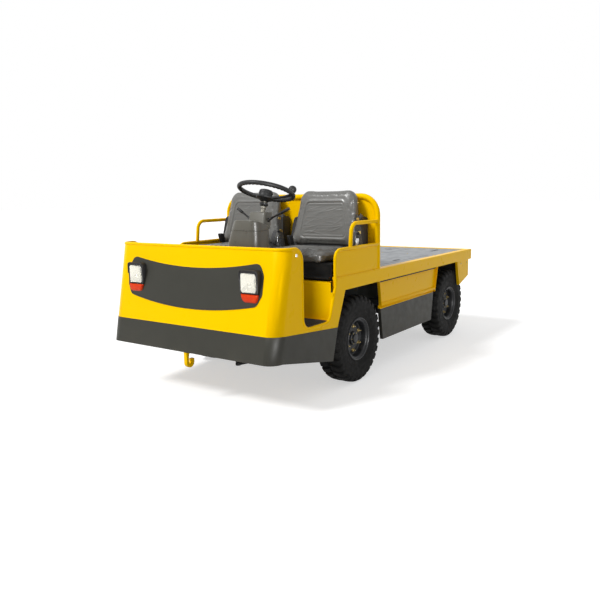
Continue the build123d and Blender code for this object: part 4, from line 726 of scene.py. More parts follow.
tread = joined([half_tyre(0.0), flipped(half_tyre(0.5))])
disc, nuts, stem = lathe(RIM_PROFILE), wheel_nuts(), valve()
for corner, (x, y, side) in WHEELS.items():
    body = corner + "_wheel"
    here = ((x, y, TYRE_R), (side, 0, 0))
    slot_piece("tread_" + corner, placed(tread, *here), body, "tyre", 32.0, ["tyre_" + corner])
    slot_piece("disc_" + corner, placed(disc, *here), body, "wheel_paint", 32.0, ["rim_" + corner])
    piece("nuts_" + corner, placed(nuts, *here), body, NUT_STEEL, sharp=30.0)
    piece("valve_" + corner, placed(stem, *here), body, MATERIALS["tyre"])

# Steering wheel, in its own plane: x across, y towards the driver, z up the column
COLUMN_FRAME = (
    (1.0, 0.0, 0.0),
    (0.0, math.cos(COLUMN_TILT), -math.sin(COLUMN_TILT)),
    (0.0, math.sin(COLUMN_TILT), math.cos(COLUMN_TILT)),
)
SCALLOPS, SCALLOP_DEPTH = 40, 0.16
SPOKE_TURNS = (25, 197)
SPOKE_START, SPOKE_END = 0.022, RING_R - 0.002
SPOKE_SAG = 0.036
SPOKE_HALF_W, SPOKE_NARROWING = 0.027, 0.013
SPOKE_HALF_H, SPOKE_THINNING = 0.0075, 0.0015
KNOB_TURN = math.radians(59.0)
# Profiles of what is turned about the column, as (radius, level) pairs in mm
BOSS = (
    (0, -20), (30, -20), (36, -22), (40, -26), (42, -33), (40, -42), (33, -50), (27, -55), (25, -60),
    (0, -60),
)
NECK = (
    (0, -58), (15, -58), (16, -60), (16, -76), (13, -78), (12, -98), (17, -100), (17, -112), (14, -114),
    (14, -188), (0, -188),
)
COLLAR = ((0, -76), (23, -77), (27, -80), (27, -87), (22, -93), (18, -97), (0, -98))
HUB_DOME = (
    (0, 8), (20, 7.9), (32, 7.2), (38.5, 5), (42, 1), (43, -4), (43, -11), (45, -12), (45, -16), (43.5, -17),
    (44.5, -36), (56, -38), (58, -42), (56, -48), (34, -58), (24, -66), (0, -66),
)
KNOB = (
    (0, 84), (9, 83), (17.5, 79), (23.5, 71), (26, 62), (25.4, 53), (22, 45), (15, 39), (10.5, 35), (9.5, 26),
    (10.5, 18), (13, 14), (13, 10), (12.5, 4), (0, 4),
)


def on_column(shape):
    """A shape in the wheel's own plane, put at its place in the truck."""
    return placed(shape, RING_CENTRE, *COLUMN_FRAME)


def ring_shape(turns=360, sides=20):
    """A torus whose section draws in by scallops on its inner and lower side: its radius is
    grip (1 - d w ((1 - cos n a) / 2)^1.5), with n scallops of depth d, and w from 0 outside to 1 within."""
    a, b = round_turn(turns)[:, None], round_turn(sides)[None, :]
    inward = np.clip(-np.cos(b) * 0.7 - np.sin(b) * 0.7, 0.0, 1.0)
    grip = GRIP_R * (1.0 - SCALLOP_DEPTH * inward * (0.5 - 0.5 * np.cos(SCALLOPS * a)) ** 1.5)
    radius = RING_R + grip * np.cos(b)
    return surface(np.stack([radius * np.cos(a), radius * np.sin(a), grip * np.sin(b)], -1), True, True)


def spoke_shape(turn):
    """A pressed spoke: squarish flat sections along a curve that sags from the ring to the boss as
    1 - t^2 does, wide at both ends and narrower between by a sine."""
    run = np.linspace(0.0, 1.0, 26)[:, None]
    b = round_turn(18)
    sag = -SPOKE_SAG * (1.0 - run**2) ** 1.1
    half = SPOKE_HALF_W - SPOKE_NARROWING * np.sin(np.pi * np.clip(run * 1.05, 0, 1)) ** 0.8
    thick = SPOKE_HALF_H - SPOKE_THINNING * run
    x = np.broadcast_to(SPOKE_START + run * (SPOKE_END - SPOKE_START), (len(run), len(b)))
    points = np.stack([x, half * powered(np.cos(b), 0.6), sag + thick * powered(np.sin(b), 0.8)], -1)
    c, s = math.cos(turn), math.sin(turn)
    return placed(closed_up(points), (0, 0, 0), (c, s, 0), (-s, c, 0))


wheel = joined([ring_shape(), turned_up(BOSS)] + [spoke_shape(math.radians(turn)) for turn in SPOKE_TURNS])
knob = placed(turned_up(KNOB, 48), (RING_R * math.cos(KNOB_TURN), RING_R * math.sin(KNOB_TURN), 0.0))
slot_piece("wheel_and_spokes", on_column(wheel), "steering", "black_plastic", 50.0, ["steering_wheel"])
piece("column_neck", on_column(turned_up(NECK)), "steering", NECK_STEEL)
piece("column_collar", on_column(turned_up(COLLAR)), "steering", MATERIALS["black_plastic"])
dome = on_column(turned_up(HUB_DOME))
slot_piece("hub_dome", dome, "steering", "black_plastic", replaces=["steering_hub_cap"])
slot_piece("turning_knob", on_column(knob), "steering", "black_plastic", replaces=["spinner_knob"])

# Console: a drum with a flared far side under a sloping top, and the box that the levers leave
DRUM_X, DRUM_Y = 0.3035, -1.172
DRUM_WIDTH, DRUM_LENGTH, DRUM_CORNER = 0.194, 0.160, 0.056
FLARE, FLARE_TOP, FLARE_HEIGHT = 0.056, 1.115, 0.145
FLARE_START, FLARE_END = 0.02, -0.08
# Level, inset and slope to the rear of the drum's loops
DRUM_ROWS = (
    (0.474, 0.0, 0.0), (0.970, 0.0, 0.0), (1.0475, 0.0, 0.0), (1.0488, 0.0018, 0.0), (1.0512, 0.0018, 0.0),
    (1.0525, -0.0008, 0.0), (1.1090, -0.0008, 0.30), (1.1135, 0.0010, 0.30), (1.1160, 0.0050, 0.30),
    (1.1165, 0.0120, 0.30), (1.1165, 0.05, 0.30),
)
BOX_X, BOX_Y, BOX_TOP, BOX_LEAN = 0.300, -1.071, 1.157, 0.3
BOX_WIDTH, BOX_LENGTH, BOX_CORNER = 0.126, 0.078, 0.015
# Level and inset of the box's loops
BOX_ROWS = (
    (1.055, -0.004), (1.100, 0.0), (1.1500, 0.0), (1.1545, 0.0012), (1.1570, 0.0045), (1.1578, 0.010),
    (1.1578, 0.028),
)
LEVER_Y = -1.080
# Lever boots: x and z along each lever, and the boot's radius there
BOOT_RUNS = (
    ((0.352, 1.1056), (0.3615, 1.1097), (0.366, 1.1116), (0.3925, 1.1229)),
    ((0.252, 1.0937), (0.2385, 1.1023), (0.234, 1.1052), (0.204, 1.1243)),
)
BOOT_RADII = (0.014, 0.014, 0.010, 0.0075)


def drum_loop(z, inset, slope):
    """The console's plan: a rounded rectangle, its far side moved out as it nears the floor, on a level
    that may slope down to the rear."""
    x, y = rounded_loop(DRUM_WIDTH - 2 * inset, DRUM_LENGTH - 2 * inset, DRUM_CORNER - inset, 10).T
    flare = FLARE * min(1.0, (FLARE_TOP - z) / FLARE_HEIGHT)
    x = x - flare * smooth_step(FLARE_START, FLARE_END, x)
    return np.stack([DRUM_X + x, DRUM_Y + y, z - slope * (y + DRUM_LENGTH / 2)], -1)


def box_loop(z, inset):
    """The column box's plan, a rounded rectangle that leans to the front as it goes down."""
    corner = BOX_CORNER - min(inset, 0.012)
    x, y = rounded_loop(BOX_WIDTH - 2 * inset, BOX_LENGTH - 2 * inset, corner).T
    return np.stack([BOX_X + x, BOX_Y + y + BOX_LEAN * (z - BOX_TOP), np.full_like(x, z)], -1)


drum = closed_up([drum_loop(*row) for row in DRUM_ROWS])
box = closed_up([box_loop(*row) for row in BOX_ROWS])
boots = [tube([(x, LEVER_Y, z) for x, z in run], BOOT_RADII, 20, up=(0, 1, 0)) for run in BOOT_RUNS]
slot_piece("console_drum", drum, "chassis", "grey_plastic", 34.0, ["steering_cowls"])
slot_piece("column_box", box, "chassis", "grey_plastic", 34.0, ["column_shroud"])
slot_piece("lever_boots", joined(boots), "chassis", "black_plastic")

# Lamps: upright boxes on the leaning nose, each outline with the middle that it draws in to
NOSE_FOOT_Y, NOSE_FOOT_Z = -1.490, 0.315
NOSE_BACK, NOSE_HEIGHT = 0.125, 0.651
LAMP_X, LAMP_Z = 0.4755, 0.7670
LAMP_FACE = -1.4305
HOUSING_MIDDLE = (0.4775, 0.7682)
HOUSING = by_angle(corner_loop((
    (0.411, 0.7035, 0.008), (0.544, 0.7035, 0.008), (0.546, 0.8410, 0.026), (0.409, 0.8410, 0.026),
)), HOUSING_MIDDLE)
OPENING_MIDDLE = (LAMP_X, LAMP_Z)
OPENING = by_angle(rounded_loop(0.121, 0.120, 0.024, 7) + np.array(OPENING_MIDDLE), OPENING_MIDDLE)
INDICATOR_MIDDLE = (0.4790, 0.680)
INDICATOR = corner_loop((
    (0.4145, 0.7022, 0.004), (0.5440, 0.7022, 0.004), (0.5370, 0.6540, 0.022), (0.4270, 0.6540, 0.028),
))
# Depth behind the lamp's face and inset of each loop; without a depth it lies on the nose
HOUSING_ROWS = ((None, 0.0), (0.006, 0.0), (0.0025, 0.0015), (0.0, 0.005))
OPENING_ROWS = ((0.0, 0.0), (0.0015, 0.0015), (0.016, 0.002))
INDICATOR_ROWS = ((None, 0.0), (0.012, 0.0), (0.005, 0.0015), (0.0015, 0.005), (0.0, 0.011), (-0.0008, 0.019))
HOOD = ((0.4115, 0.770), (0.4110, 0.8395), (0.5440, 0.8395), (0.5435, 0.770))
BULB = ((0, 7.4), (5, 7.0), (10, 5.6), (14, 3.2), (16, 0.0), (0, 0))
BULB_DROP = 0.016
LENS = dict(width=0.117, height=0.116, radius=0.022, thickness=0.0055, ribs=5, depth=0.0004)
BOWL = dict(width=0.116, height=0.115, radius=0.022, depth=0.0085)
TAIL_LENS = dict(width=0.108, height=0.058, radius=0.011, thickness=0.0225, ribs=9, depth=0.002)
LENS_RIM, LENS_CROWN = 0.006, 0.003


def lamp_loops(outline, middle, rows):
    """An outline once for each row of depth and inset, drawn in to its middle by the inset's share of its
    half size."""
    spread = outline - np.array(middle)
    size = np.abs(spread).max(axis=0)
    loops = []
    for depth, inset in rows:
        x, z = (spread * (1 - inset / size) + np.array(middle)).T
        nose = NOSE_FOOT_Y + NOSE_BACK * (z - NOSE_FOOT_Z) / NOSE_HEIGHT
        y = nose if depth is None else np.full_like(x, LAMP_FACE + depth)
        loops.append(np.stack([x, y, z], -1))
    return loops


def lamp_place(shape, z, depth):
    """A shape drawn upright, z outwards, put behind the left lamp's face at a height, and mirrored."""
    return mirrored(placed(shape, (LAMP_X, LAMP_FACE + depth, z), (1, 0, 0), (0, 0, 1), (0, -1, 0)))


def ribbed_plate(width, height, radius, thickness, ribs, depth):
    """A rounded plate whose outer face is crowned and whose inner face has upright ribs: the inner level
    is depth (1 - cos(2 pi ribs x / width)) / 2, and nothing at the rim."""
    x = np.linspace(-1, 1, ribs * 6 + 1) * width / 2
    y = np.linspace(-1, 1, 25) * height / 2
    x, y = np.meshgrid(x, y, indexing="ij")
    corner_x = np.maximum(abs(x) - width / 2 + radius, 0)
    corner_y = np.maximum(abs(y) - height / 2 + radius, 0)
    away = np.hypot(corner_x, corner_y)
    pull = np.where(away > radius, radius / np.maximum(away, 1e-9), 1.0)
    x = np.sign(x) * (abs(x) - corner_x * (1 - pull))
    y = np.sign(y) * (abs(y) - corner_y * (1 - pull))
    rim = np.clip(np.minimum(width / 2 - abs(x), height / 2 - abs(y)) / LENS_RIM, 0, 1)
    crown = (1 - (x / width * 2) ** 2) * (1 - (y / height * 2) ** 2)
    front = thickness - LENS_CROWN * (1 - rim) ** 2 + LENS_CROWN * crown
    rear = depth * (0.5 - 0.5 * np.cos(2 * np.pi * ribs * x / width)) * rim
    outer, inner = np.stack([x, y, front], -1), np.stack([x, y, rear], -1)
    sides = [surface(np.stack([outer[edge], inner[edge]])) for edge in (0, -1, np.s_[:, 0], np.s_[:, -1])]
    return joined([surface(outer), surface(inner), *sides])


def reflector_bowl(width, height, radius, depth):
    """A dished mirror: the level falls as the squared distance from its middle, its rim is a rounded
    rectangle, and its loops grow rounder inwards."""
    loops = [at_level(rounded_loop(width, height, radius, 10), 0.0)]
    for s in (*np.linspace(1, 0.3, 12), 0.16, 0.05):
        corner = max(radius * s, 0.3 * min(width, height) * s * (1.6 - s))
        loops.append(at_level(rounded_loop(width * s, height * s, corner, 10), depth * s**2 + 0.0008))
    return closed_up(loops)


hood = tube(rounded([(x, LAMP_FACE - 0.0005, z) for x, z in HOOD], 0.022, 9), 0.0028, 10, up=(0, 1, 0))
housing = lamp_loops(HOUSING, HOUSING_MIDDLE, HOUSING_ROWS)
housing += lamp_loops(OPENING, OPENING_MIDDLE, OPENING_ROWS)
housing = mirrored(joined([closed_up(housing), hood]))
amber = mirrored(closed_up(lamp_loops(INDICATOR, INDICATOR_MIDDLE, INDICATOR_ROWS)))
lens = lamp_place(ribbed_plate(**LENS), LAMP_Z, 0.0070)
mirror = lamp_place(reflector_bowl(**BOWL), LAMP_Z, 0.0155)
bulb = lamp_place(turned_up(BULB, 32), LAMP_Z - BULB_DROP, 0.0150)
slot_piece("lamp_bodies", housing, "chassis", "black_plastic", 34.0, ["lamp_housings"])
slot_piece("indicator_covers", amber, "chassis", "amber_lens", 50.0, ["indicator_lenses"])
slot_piece("headlamp_glass", lens, "chassis", "clear_lens", 30.0, ["headlamp_lenses"])
piece("headlamp_mirrors", mirror, "chassis", REFLECTOR, sharp=50.0)
piece("headlamp_bulbs", bulb, "chassis", REFLECTOR)

# Seat pads: their sizes, the corner and the waist of their outline, and their sewing
CUSHION = dict(foot_w=0.484, head_w=0.484, length=0.392, depth=0.086)
CUSHION_CORNER, CUSHION_WAIST = 0.048, 0.005
CUSHION_SEWING = dict(inset=0.058, inset_y=0.058, drop=0.0, strength=0.0022)
CUSHION_Y = -0.628
BACK = dict(foot_w=0.546, head_w=0.430, length=0.388, depth=0.082)
BACK_CORNER, BACK_WAIST = 0.062, -0.005
BACK_SEWING = dict(inset=0.078, inset_y=0.074, drop=-0.018, strength=0.0010)
BACK_LEAN = math.radians(10.6)
BACK_SHIFT = -0.008
BACK_FOOT_Y = -0.440
BACK_GAP = 0.004
PAD_CROWN = 0.010
PAD_BACK_R, PAD_FACE_R = 0.010, 0.030
# The room that a pad starts smaller by, for the pressure, and how it is blown up
PAD_ROOM = 0.007
PAD_VOXEL = 0.006
PUFF_LIMIT = 0.012
PUFF_PRESSURE = 4.0
PUFF_FRAMES = 20
# The sewing's relief: depth and width of the channel; height, distance and width of the piping; how far
# the panel is sunk; and height and width of the welt, with its level as a share of the pad's depth
CHANNEL, CHANNEL_W = 0.0030, 0.0045
PIPING, PIPING_OUT, PIPING_W = 0.0028, 0.013, 0.010
PANEL_SUNK, PANEL_CORNER = 0.0030, 0.026
WELT, WELT_W, WELT_LEVEL = 0.0022, 0.0035, 0.74
# Creases: how many, and the mean and spread of their slant in degrees
CREASES = 64
CREASE_SLANT, CREASE_SPREAD = 9.0, 9.0


def pad_form(foot_w, head_w, length, depth, corner, waist, steps=10):
    """A crowned closed pad, z from 0 at its flat back to its face: loops of a rounded outline whose
    sides pull in by a waist between the corners, drawn in by a quarter circle at both rims, over a face
    that rises by the crown, sin of the share of the way inwards."""
    inset, level = rims(PAD_BACK_R, PAD_FACE_R, depth, 5)
    deep = np.linspace(0.0, 0.94, steps)[1:] * (min(foot_w, length) / 2 - PAD_FACE_R)
    inset = np.concatenate([inset, PAD_FACE_R + deep])
    level = np.concatenate([level, depth + PAD_CROWN * np.sin(np.pi / 2 * deep / deep[-1])])
    loops = []
    for i, z in zip(inset, level):
        loop = rounded_loop(foot_w - 2 * i, length - 2 * i, max(corner - i * 0.6, 0.004), 14)
        across, along = loop[:, 0] / (foot_w / 2), loop[:, 1] / (length / 2)
        narrow = 1.0 + (head_w / foot_w - 1.0) * (along + 1.0) / 2.0
        x = loop[:, 0] * narrow - waist * (1 - along**2) * powered(across, 3)
        y = loop[:, 1] - waist * (1 - across**2) * powered(along, 3)
        loops.append(np.stack([x, y, np.full_like(x, z)], -1))
    return closed_up(loops)


def evaluated(made):
    """The object with its modifiers carried out."""
    return made.evaluated_get(bpy.context.evaluated_depsgraph_get())


def coordinates(mesh):
    """Vertex places as an array."""
    flat = np.empty(len(mesh.vertices) * 3)
    mesh.vertices.foreach_get("co", flat)
    return flat.reshape(-1, 3)


def puffed(pad):
    """Where the vertices are after an inner pressure has blown the pad up as cloth."""
    cloth = pad.modifiers.new("cloth", "CLOTH")
    cloth.settings.quality = 4
    cloth.settings.mass = 0.4
    cloth.settings.tension_stiffness = 14.0
    cloth.settings.compression_stiffness = 6.0
    cloth.settings.bending_stiffness = 0.35
    cloth.settings.use_pressure = True
    cloth.settings.uniform_pressure_force = PUFF_PRESSURE
    cloth.settings.effector_weights.gravity = 0.0
    cloth.point_cache.frame_start = 1
    cloth.point_cache.frame_end = PUFF_FRAMES
    for number in range(1, PUFF_FRAMES + 1):
        bpy.context.scene.frame_set(number)
    done = evaluated(pad)
    places = coordinates(done.to_mesh())
    done.to_mesh_clear()
    pad.modifiers.clear()
    bpy.context.scene.frame_set(1)
    return places


def swollen(name, shape):
    """The form remeshed into even quads and blown up, no point moved further than the limit;
    then subdivided once."""
    pad = linked(name + "_work", clean_mesh(name + "_work", shape))
    remesh = pad.modifiers.new("voxels", "REMESH")
    remesh.mode = "VOXEL"
    remesh.voxel_size = PAD_VOXEL
    pad.data = bpy.data.meshes.new_from_object(evaluated(pad))
    pad.modifiers.clear()
    start = coordinates(pad.data)
    moved = puffed(pad) - start
    moved -= np.median(moved, axis=0)
    far = np.linalg.norm(moved, axis=1)[:, None]
    start = start + moved * np.minimum(1.0, PUFF_LIMIT / np.maximum(far, 1e-9))
    pad.data.vertices.foreach_set("co", start.ravel())
    finer = pad.modifiers.new("finer", "SUBSURF")
    finer.levels = finer.render_levels = 1
    made = bpy.data.meshes.new_from_object(evaluated(pad))
    bpy.data.objects.remove(pad)
    return coordinates(made), [list(face.vertices) for face in made.polygons]


def pad_shape(name, size, corner, waist):
    """One pad, started smaller than its size by the room and brought to its size once it is swollen."""
    less = {"foot_w": 2 * PAD_ROOM, "head_w": 2 * PAD_ROOM, "length": 2 * PAD_ROOM, "depth": PAD_ROOM}
    smaller = {key: size[key] - less[key] for key in size}
    verts, faces = swollen(name, pad_form(**smaller, corner=corner, waist=waist))
    low, high = verts.min(axis=0), verts.max(axis=0)
    target = np.array([size["foot_w"], size["length"], size["depth"]])
    verts = (verts - (low + high) / 2) * target / (high - low)
    verts[:, 2] += size["depth"] / 2
    return verts, faces


def rounded_distance(x, y, half_x, half_y, radius):
    """Signed distance to a rounded rectangle, negative inside."""
    out_x, out_y = np.abs(x) - half_x + radius, np.abs(y) - half_y + radius
    outside = np.hypot(np.maximum(out_x, 0), np.maximum(out_y, 0))
    return outside + np.minimum(np.maximum(out_x, out_y), 0) - radius


def wrinkled(x, y, seed, strength):
    """Film creases: thin crests along nearly level lines that slant a little, each one a short hump
    across and a long one along, from seeded places, and summed."""
    rng = np.random.default_rng(seed)
    total = np.zeros_like(x)
    for _ in range(CREASES):
        turn = math.radians(rng.normal(CREASE_SLANT, CREASE_SPREAD))
        c, s = math.cos(turn), math.sin(turn)
        middle_x, middle_y = rng.uniform(-0.20, 0.20), rng.uniform(-0.17, 0.17)
        along = (x - middle_x) * c + (y - middle_y) * s
        line_x, line_y = rng.uniform(-0.02, 0.02), rng.uniform(-0.17, 0.17)
        cross = -(x - line_x) * s + (y - line_y) * c
        cross = cross + 0.004 * np.sin(along * rng.uniform(15, 40) + rng.uniform(0, 6.28))
        thin = rng.uniform(0.0028, 0.0055)
        high, long = rng.uniform(0.3, 1.0), rng.uniform(0.03, 0.10)
        total += high * np.exp(-((cross / thin) ** 2) - (along / long) ** 2)
    return strength * (total - 0.12)


def sewn(verts, foot_w, head_w, length, depth, inset, inset_y, drop, strength, seed):
    """Adds a sewn inner panel to the face: a channel along a rounded rectangle, a raised piping round the
    rim, and folds that are strongest inside the panel and at the front; and a welt round the side."""
    x, y, z = verts.T.copy()
    half_w = (foot_w + (head_w - foot_w) * (y + length / 2) / length) / 2
    face = smooth_step(0.35 * depth, 0.85 * depth, z)
    panel_x, panel_y = foot_w / 2 - inset, length / 2 - inset_y
    across = x * panel_x / np.maximum(half_w - inset, 1e-6)
    d = rounded_distance(across, y - drop, panel_x, panel_y, PANEL_CORNER)
    rise = -CHANNEL * dip(d, CHANNEL_W) + PIPING * dip(d - PIPING_OUT, PIPING_W)
    rise -= PANEL_SUNK * smooth_step(0.0, -0.025, d)
    inside = smooth_step(0.004, -0.022, d)
    front = smooth_step(-0.09, -0.16, y - 4 * drop)
    rise += inside * wrinkled(x, y, seed, strength)
    rise += (1 - inside) * wrinkled(x * 0.8, y * 1.3, seed + 5, strength * 0.35)
    rise += 7.0 * strength * front * wrinkled(y * 1.2 + 0.1, x * 0.8, seed + 8, 1.0)
    z = z + face * rise
    welt = WELT * dip(z - WELT_LEVEL * depth, WELT_W) * (1.6 - smooth_step(0.2 * depth, 0.95 * depth, z))
    x = x + welt * np.sign(x) * smooth_step(half_w - 0.03, half_w, np.abs(x))
    y = y + welt * np.sign(y) * smooth_step(length / 2 - 0.03, length / 2, np.abs(y))
    return np.stack([x, y, z], -1)


def seat_pad(who, part, shape):
    """A padded piece in vinyl, in place of its plain solid."""
    pad = slot_piece(f"{who}_{part}", shape, "chassis", "seat_vinyl", 180.0, [f"{who}_seat_{part}"])


cushion_start, cushion_faces = pad_shape("cushion", CUSHION, CUSHION_CORNER, CUSHION_WAIST)
back_start, back_faces = pad_shape("backrest", BACK, BACK_CORNER, BACK_WAIST)
UP_THE_BACK = np.array([0.0, math.sin(BACK_LEAN), math.cos(BACK_LEAN)])
OUT_OF_BACK = np.array([0.0, -math.cos(BACK_LEAN), math.sin(BACK_LEAN)])
SEATS = {"driver": (1, 11), "passenger": (-1, 47)}
for who, (side, seed) in SEATS.items():
    verts = sewn(cushion_start, **CUSHION, **CUSHION_SEWING, seed=seed)
    seat_pad(who, "cushion", placed((verts, cushion_faces), (side * SEAT_X, CUSHION_Y, SEAT_TOP)))
    verts = sewn(back_start, **BACK, **BACK_SEWING, seed=seed + 3)
    foot = np.array([side * SEAT_X + BACK_SHIFT, BACK_FOOT_Y, SEAT_TOP + CUSHION["depth"] + BACK_GAP])
    origin = foot + (BACK["length"] / 2 - BACK_GAP) * UP_THE_BACK - BACK["depth"] * OUT_OF_BACK
    seat_pad(who, "backrest", placed((verts, back_faces), origin, (1, 0, 0), UP_THE_BACK, OUT_OF_BACK))

# Shells behind the backrests
SHELL_FOOT, SHELL_MIDDLE = 0.8225, 0.959
SHELL_HALF_W, SHELL_HALF_H = 0.292, 0.137
SHELL = corner_loop((
    (0.308, SHELL_FOOT, 0.010), (0.282, 1.100, 0.030), (-0.282, 1.100, 0.030), (-0.308, SHELL_FOOT, 0.010),
))
# Depth and inset of the shell's loops
SHELL_ROWS = (
    (-0.4165, 0.010), (-0.4185, 0.004), (-0.4170, 0.0012), (-0.4130, 0.0), (-0.3245, 0.0), (-0.3200, 0.003),
    (-0.3190, 0.009),
)


def shell_loop(y, inset):
    """The shell's outline at one depth, drawn in towards its middle and leaning as the backrest does."""
    x, z = SHELL.T
    x = x * (1 - inset / SHELL_HALF_W) + BACK_SHIFT
    z = SHELL_MIDDLE + (z - SHELL_MIDDLE) * (1 - inset / SHELL_HALF_H)
    return np.stack([x, y + math.tan(BACK_LEAN) * (z - SHELL_FOOT), z], -1)


shell = closed_up([shell_loop(*row) for row in SHELL_ROWS])
shells = joined([placed(shell, (side * SEAT_X, 0, 0)) for side in (1, -1)])
slot_piece("seat_back_shells", shells, "chassis", "black_plastic", 34.0, ["seat_shells"])

# Seat belts, drawn once with x measured from the seat's middle: the strap that rises from the reel, the
# loop that hangs by it, the stalk of the buckle
BELT_RISE = (
    (0.2995, -0.400, 0.862), (0.2915, -0.405, 0.930), (0.2810, -0.410, 0.997), (0.2700, -0.407, 1.055),
    (0.2640, -0.398, 1.092), (0.262, -0.372, 1.106), (0.264, -0.338, 1.092),
)
BELT_LOOP = (
    (0.288, -0.428, 0.985), (0.286, -0.452, 1.004), (0.283, -0.478, 0.996), (0.280, -0.498, 0.958),
    (0.281, -0.496, 0.915), (0.284, -0.470, 0.893), (0.287, -0.444, 0.905), (0.288, -0.432, 0.940),
)
BUCKLE_STALK = ((-0.2480, -0.402, 0.850), (-0.2520, -0.425, 0.885), (-0.2560, -0.447, 0.912))
FIXING_AXES = ((0.1, 0.99, 0), (0, -0.1, 0.99), (1, 0, 0.15))
belt = joined([
    strap(smooth_path(BELT_RISE), 0.040, 0.0024, (0.1, 1, 0.1)),
    strap(smooth_path(BELT_LOOP), 0.030, 0.0024, (1, 0.25, 0)),
    strap(smooth_path(BUCKLE_STALK), 0.040, 0.0032, (0.1, 1, 0.2)),
])
buckle = slab(width=0.042, height=0.070, radius=0.009, thickness=0.020, bevel=0.005, crown=0.002)
buckle = placed(buckle, (-0.266, -0.462, 0.938), (0.2, 0.98, 0.0), (0.0, -0.30, 0.954), (1, 0, 0))
tongue = slab(width=0.030, height=0.052, radius=0.006, thickness=0.0035, bevel=0.0012)
tongue = placed(tongue, (0.2885, -0.449, 0.936), (0.15, 0.99, 0), (0, 0.1, 0.99), (1, 0, 0))
fixings = joined([
    placed(slab(0.030, 0.022, 0.005, 0.0040, 0.0014), (0.2835, -0.411, 0.997), *FIXING_AXES),
    placed(slab(0.026, 0.018, 0.005, 0.0040, 0.0014), (0.2655, -0.402, 1.088), *FIXING_AXES),
])
for who, (side, _) in SEATS.items():
    at_seat = (side * SEAT_X, 0, 0)
    piece("belt_" + who, placed(belt, at_seat), "chassis", WEBBING, sharp=60.0)
    piece("buckle_" + who, placed(buckle, at_seat), "chassis", MATERIALS["black_plastic"])
    piece("tongue_" + who, placed(tongue, at_seat), "chassis", STEEL)
    piece("belt_fixings_" + who, placed(fixings, at_seat), "chassis", ZINC)

# Folds of the side sheets, and a dark strip of painted shadow under each deck rail: outlines in x and z, and
# where along y they start and end
LOWER_FOLD = (
    (0.6540, 0.4630), (0.6540, 0.4835), (0.6572, 0.4838), (0.6600, 0.4820),
    (0.6722, 0.4680), (0.6735, 0.4655), (0.6730, 0.4630),
)
LOWER_FOLD_Y = (-0.196, 0.745)
SEAT_BOX_FOLD = (
    (0.6500, 0.7395), (0.6500, 0.7640), (0.6530, 0.7642), (0.6560, 0.7625),
    (0.6890, 0.7450), (0.6915, 0.7425), (0.6912, 0.7395),
)
SEAT_BOX_FOLD_Y = (-0.800, -0.262)
RAIL_SHADOW_STRIP = ((0.6545, 0.6320), (0.6545, 0.6440), (0.6568, 0.6440), (0.6568, 0.6320))
RAIL_SHADOW_STRIP_Y = (-0.222, 0.788)


def side_strip(corners, ends):
    """A strip along y, used for the sheet folds and for the dark strips of painted shadow under the rails: a
    small outline in x and z carried from one end to the other, rounded a little at both ends, on both sides
    of the truck."""
    outline = np.array(corners)
    middle = outline.mean(axis=0)
    first, last = ends
    loops = []
    for y, share in ((first, 0.86), (first + 0.004, 1.0), (last - 0.004, 1.0), (last, 0.86)):
        x, z = (middle + (outline - middle) * share).T
        loops.append(np.stack([x, np.full_like(x, y), z], -1))
    return mirrored(closed_up(loops))


folds = joined([side_strip(LOWER_FOLD, LOWER_FOLD_Y), side_strip(SEAT_BOX_FOLD, SEAT_BOX_FOLD_Y)])
slot_piece("sheet_folds", folds, "chassis", "yellow_paint", 30.0)
# Painted shadow: black strips just below the deck rails' lower edges, where the rails shade the panels
# beneath
slot_piece("rail_shadow_strips", side_strip(RAIL_SHADOW_STRIP, RAIL_SHADOW_STRIP_Y), "chassis", "black_paint", 30.0)
# Painted shade: black sheets inside the rear valance, behind the rear wheels, darken the gap where shadow
# falls
valance_shade_sheet = box_shape((0.300, 1.4222, 0.514), (0.662, 1.4266, 0.650), 0.0012)
slot_piece("valance_shade_sheets", mirrored(valance_shade_sheet), "chassis", "black_paint", 30.0)

# Bolts and screws: the bolts as a middle on the left, head's radius and height; the screws in groups, one
# at every x with every y and z of its row, with the way they face and their radius
NOSE_BOLT = ((0.6915, -1.253, 0.918), 0.0105, 0.0032)
GUARD_BOLTS = (((0.691, 1.25, 0.628), 0.0075, 0.0035), ((0.691, 1.39, 0.628), 0.0075, 0.0035))
BULKHEAD_SCREWS_X = np.linspace(0.08, 0.52, 5)
BULKHEAD_SCREWS_Z = (0.775, 1.195)
SCREWS = {
    "valance": ((0.08, 0.33, 0.58), (1.431,), (0.635,), (0, 1, 0), 0.006),
    "deck ends": ((0.12, 0.36, 0.60), (-0.235, 0.86, 1.425), (0.7358,), (0, 0, 1), 0.0065),
    "deck rails": ((0.622,), np.linspace(-0.10, 0.80, 7), (0.7358,), (0, 0, 1), 0.0055),
    "bulkhead front": (BULKHEAD_SCREWS_X, (-0.2655,), BULKHEAD_SCREWS_Z, (0, -1, 0), 0.005),
    "bulkhead rear": (BULKHEAD_SCREWS_X, (-0.2625,), BULKHEAD_SCREWS_Z, (0, 1, 0), 0.005),
}


def side_bolt(side, place, radius, height):
    """A hexagon head on the left or right side sheet, facing outwards."""
    x, y, z = place
    return bolt((side * x, y, z), (side, 0, 0), radius, height, washer=False)


screws = []
for side in (1, -1):
    screws += [side_bolt(side, *row) for row in GUARD_BOLTS]
    for xs, ys, zs, facing, radius in SCREWS.values():
        screws += [dome_screw((side * x, y, z), facing, radius) for x, y, z in itertools.product(xs, ys, zs)]
piece("nose_bolts", joined([side_bolt(side, *NOSE_BOLT) for side in (1, -1)]), "chassis", STEEL, sharp=30.0)
piece("panel_screws", joined(screws), "chassis", ZINC, sharp=30.0)

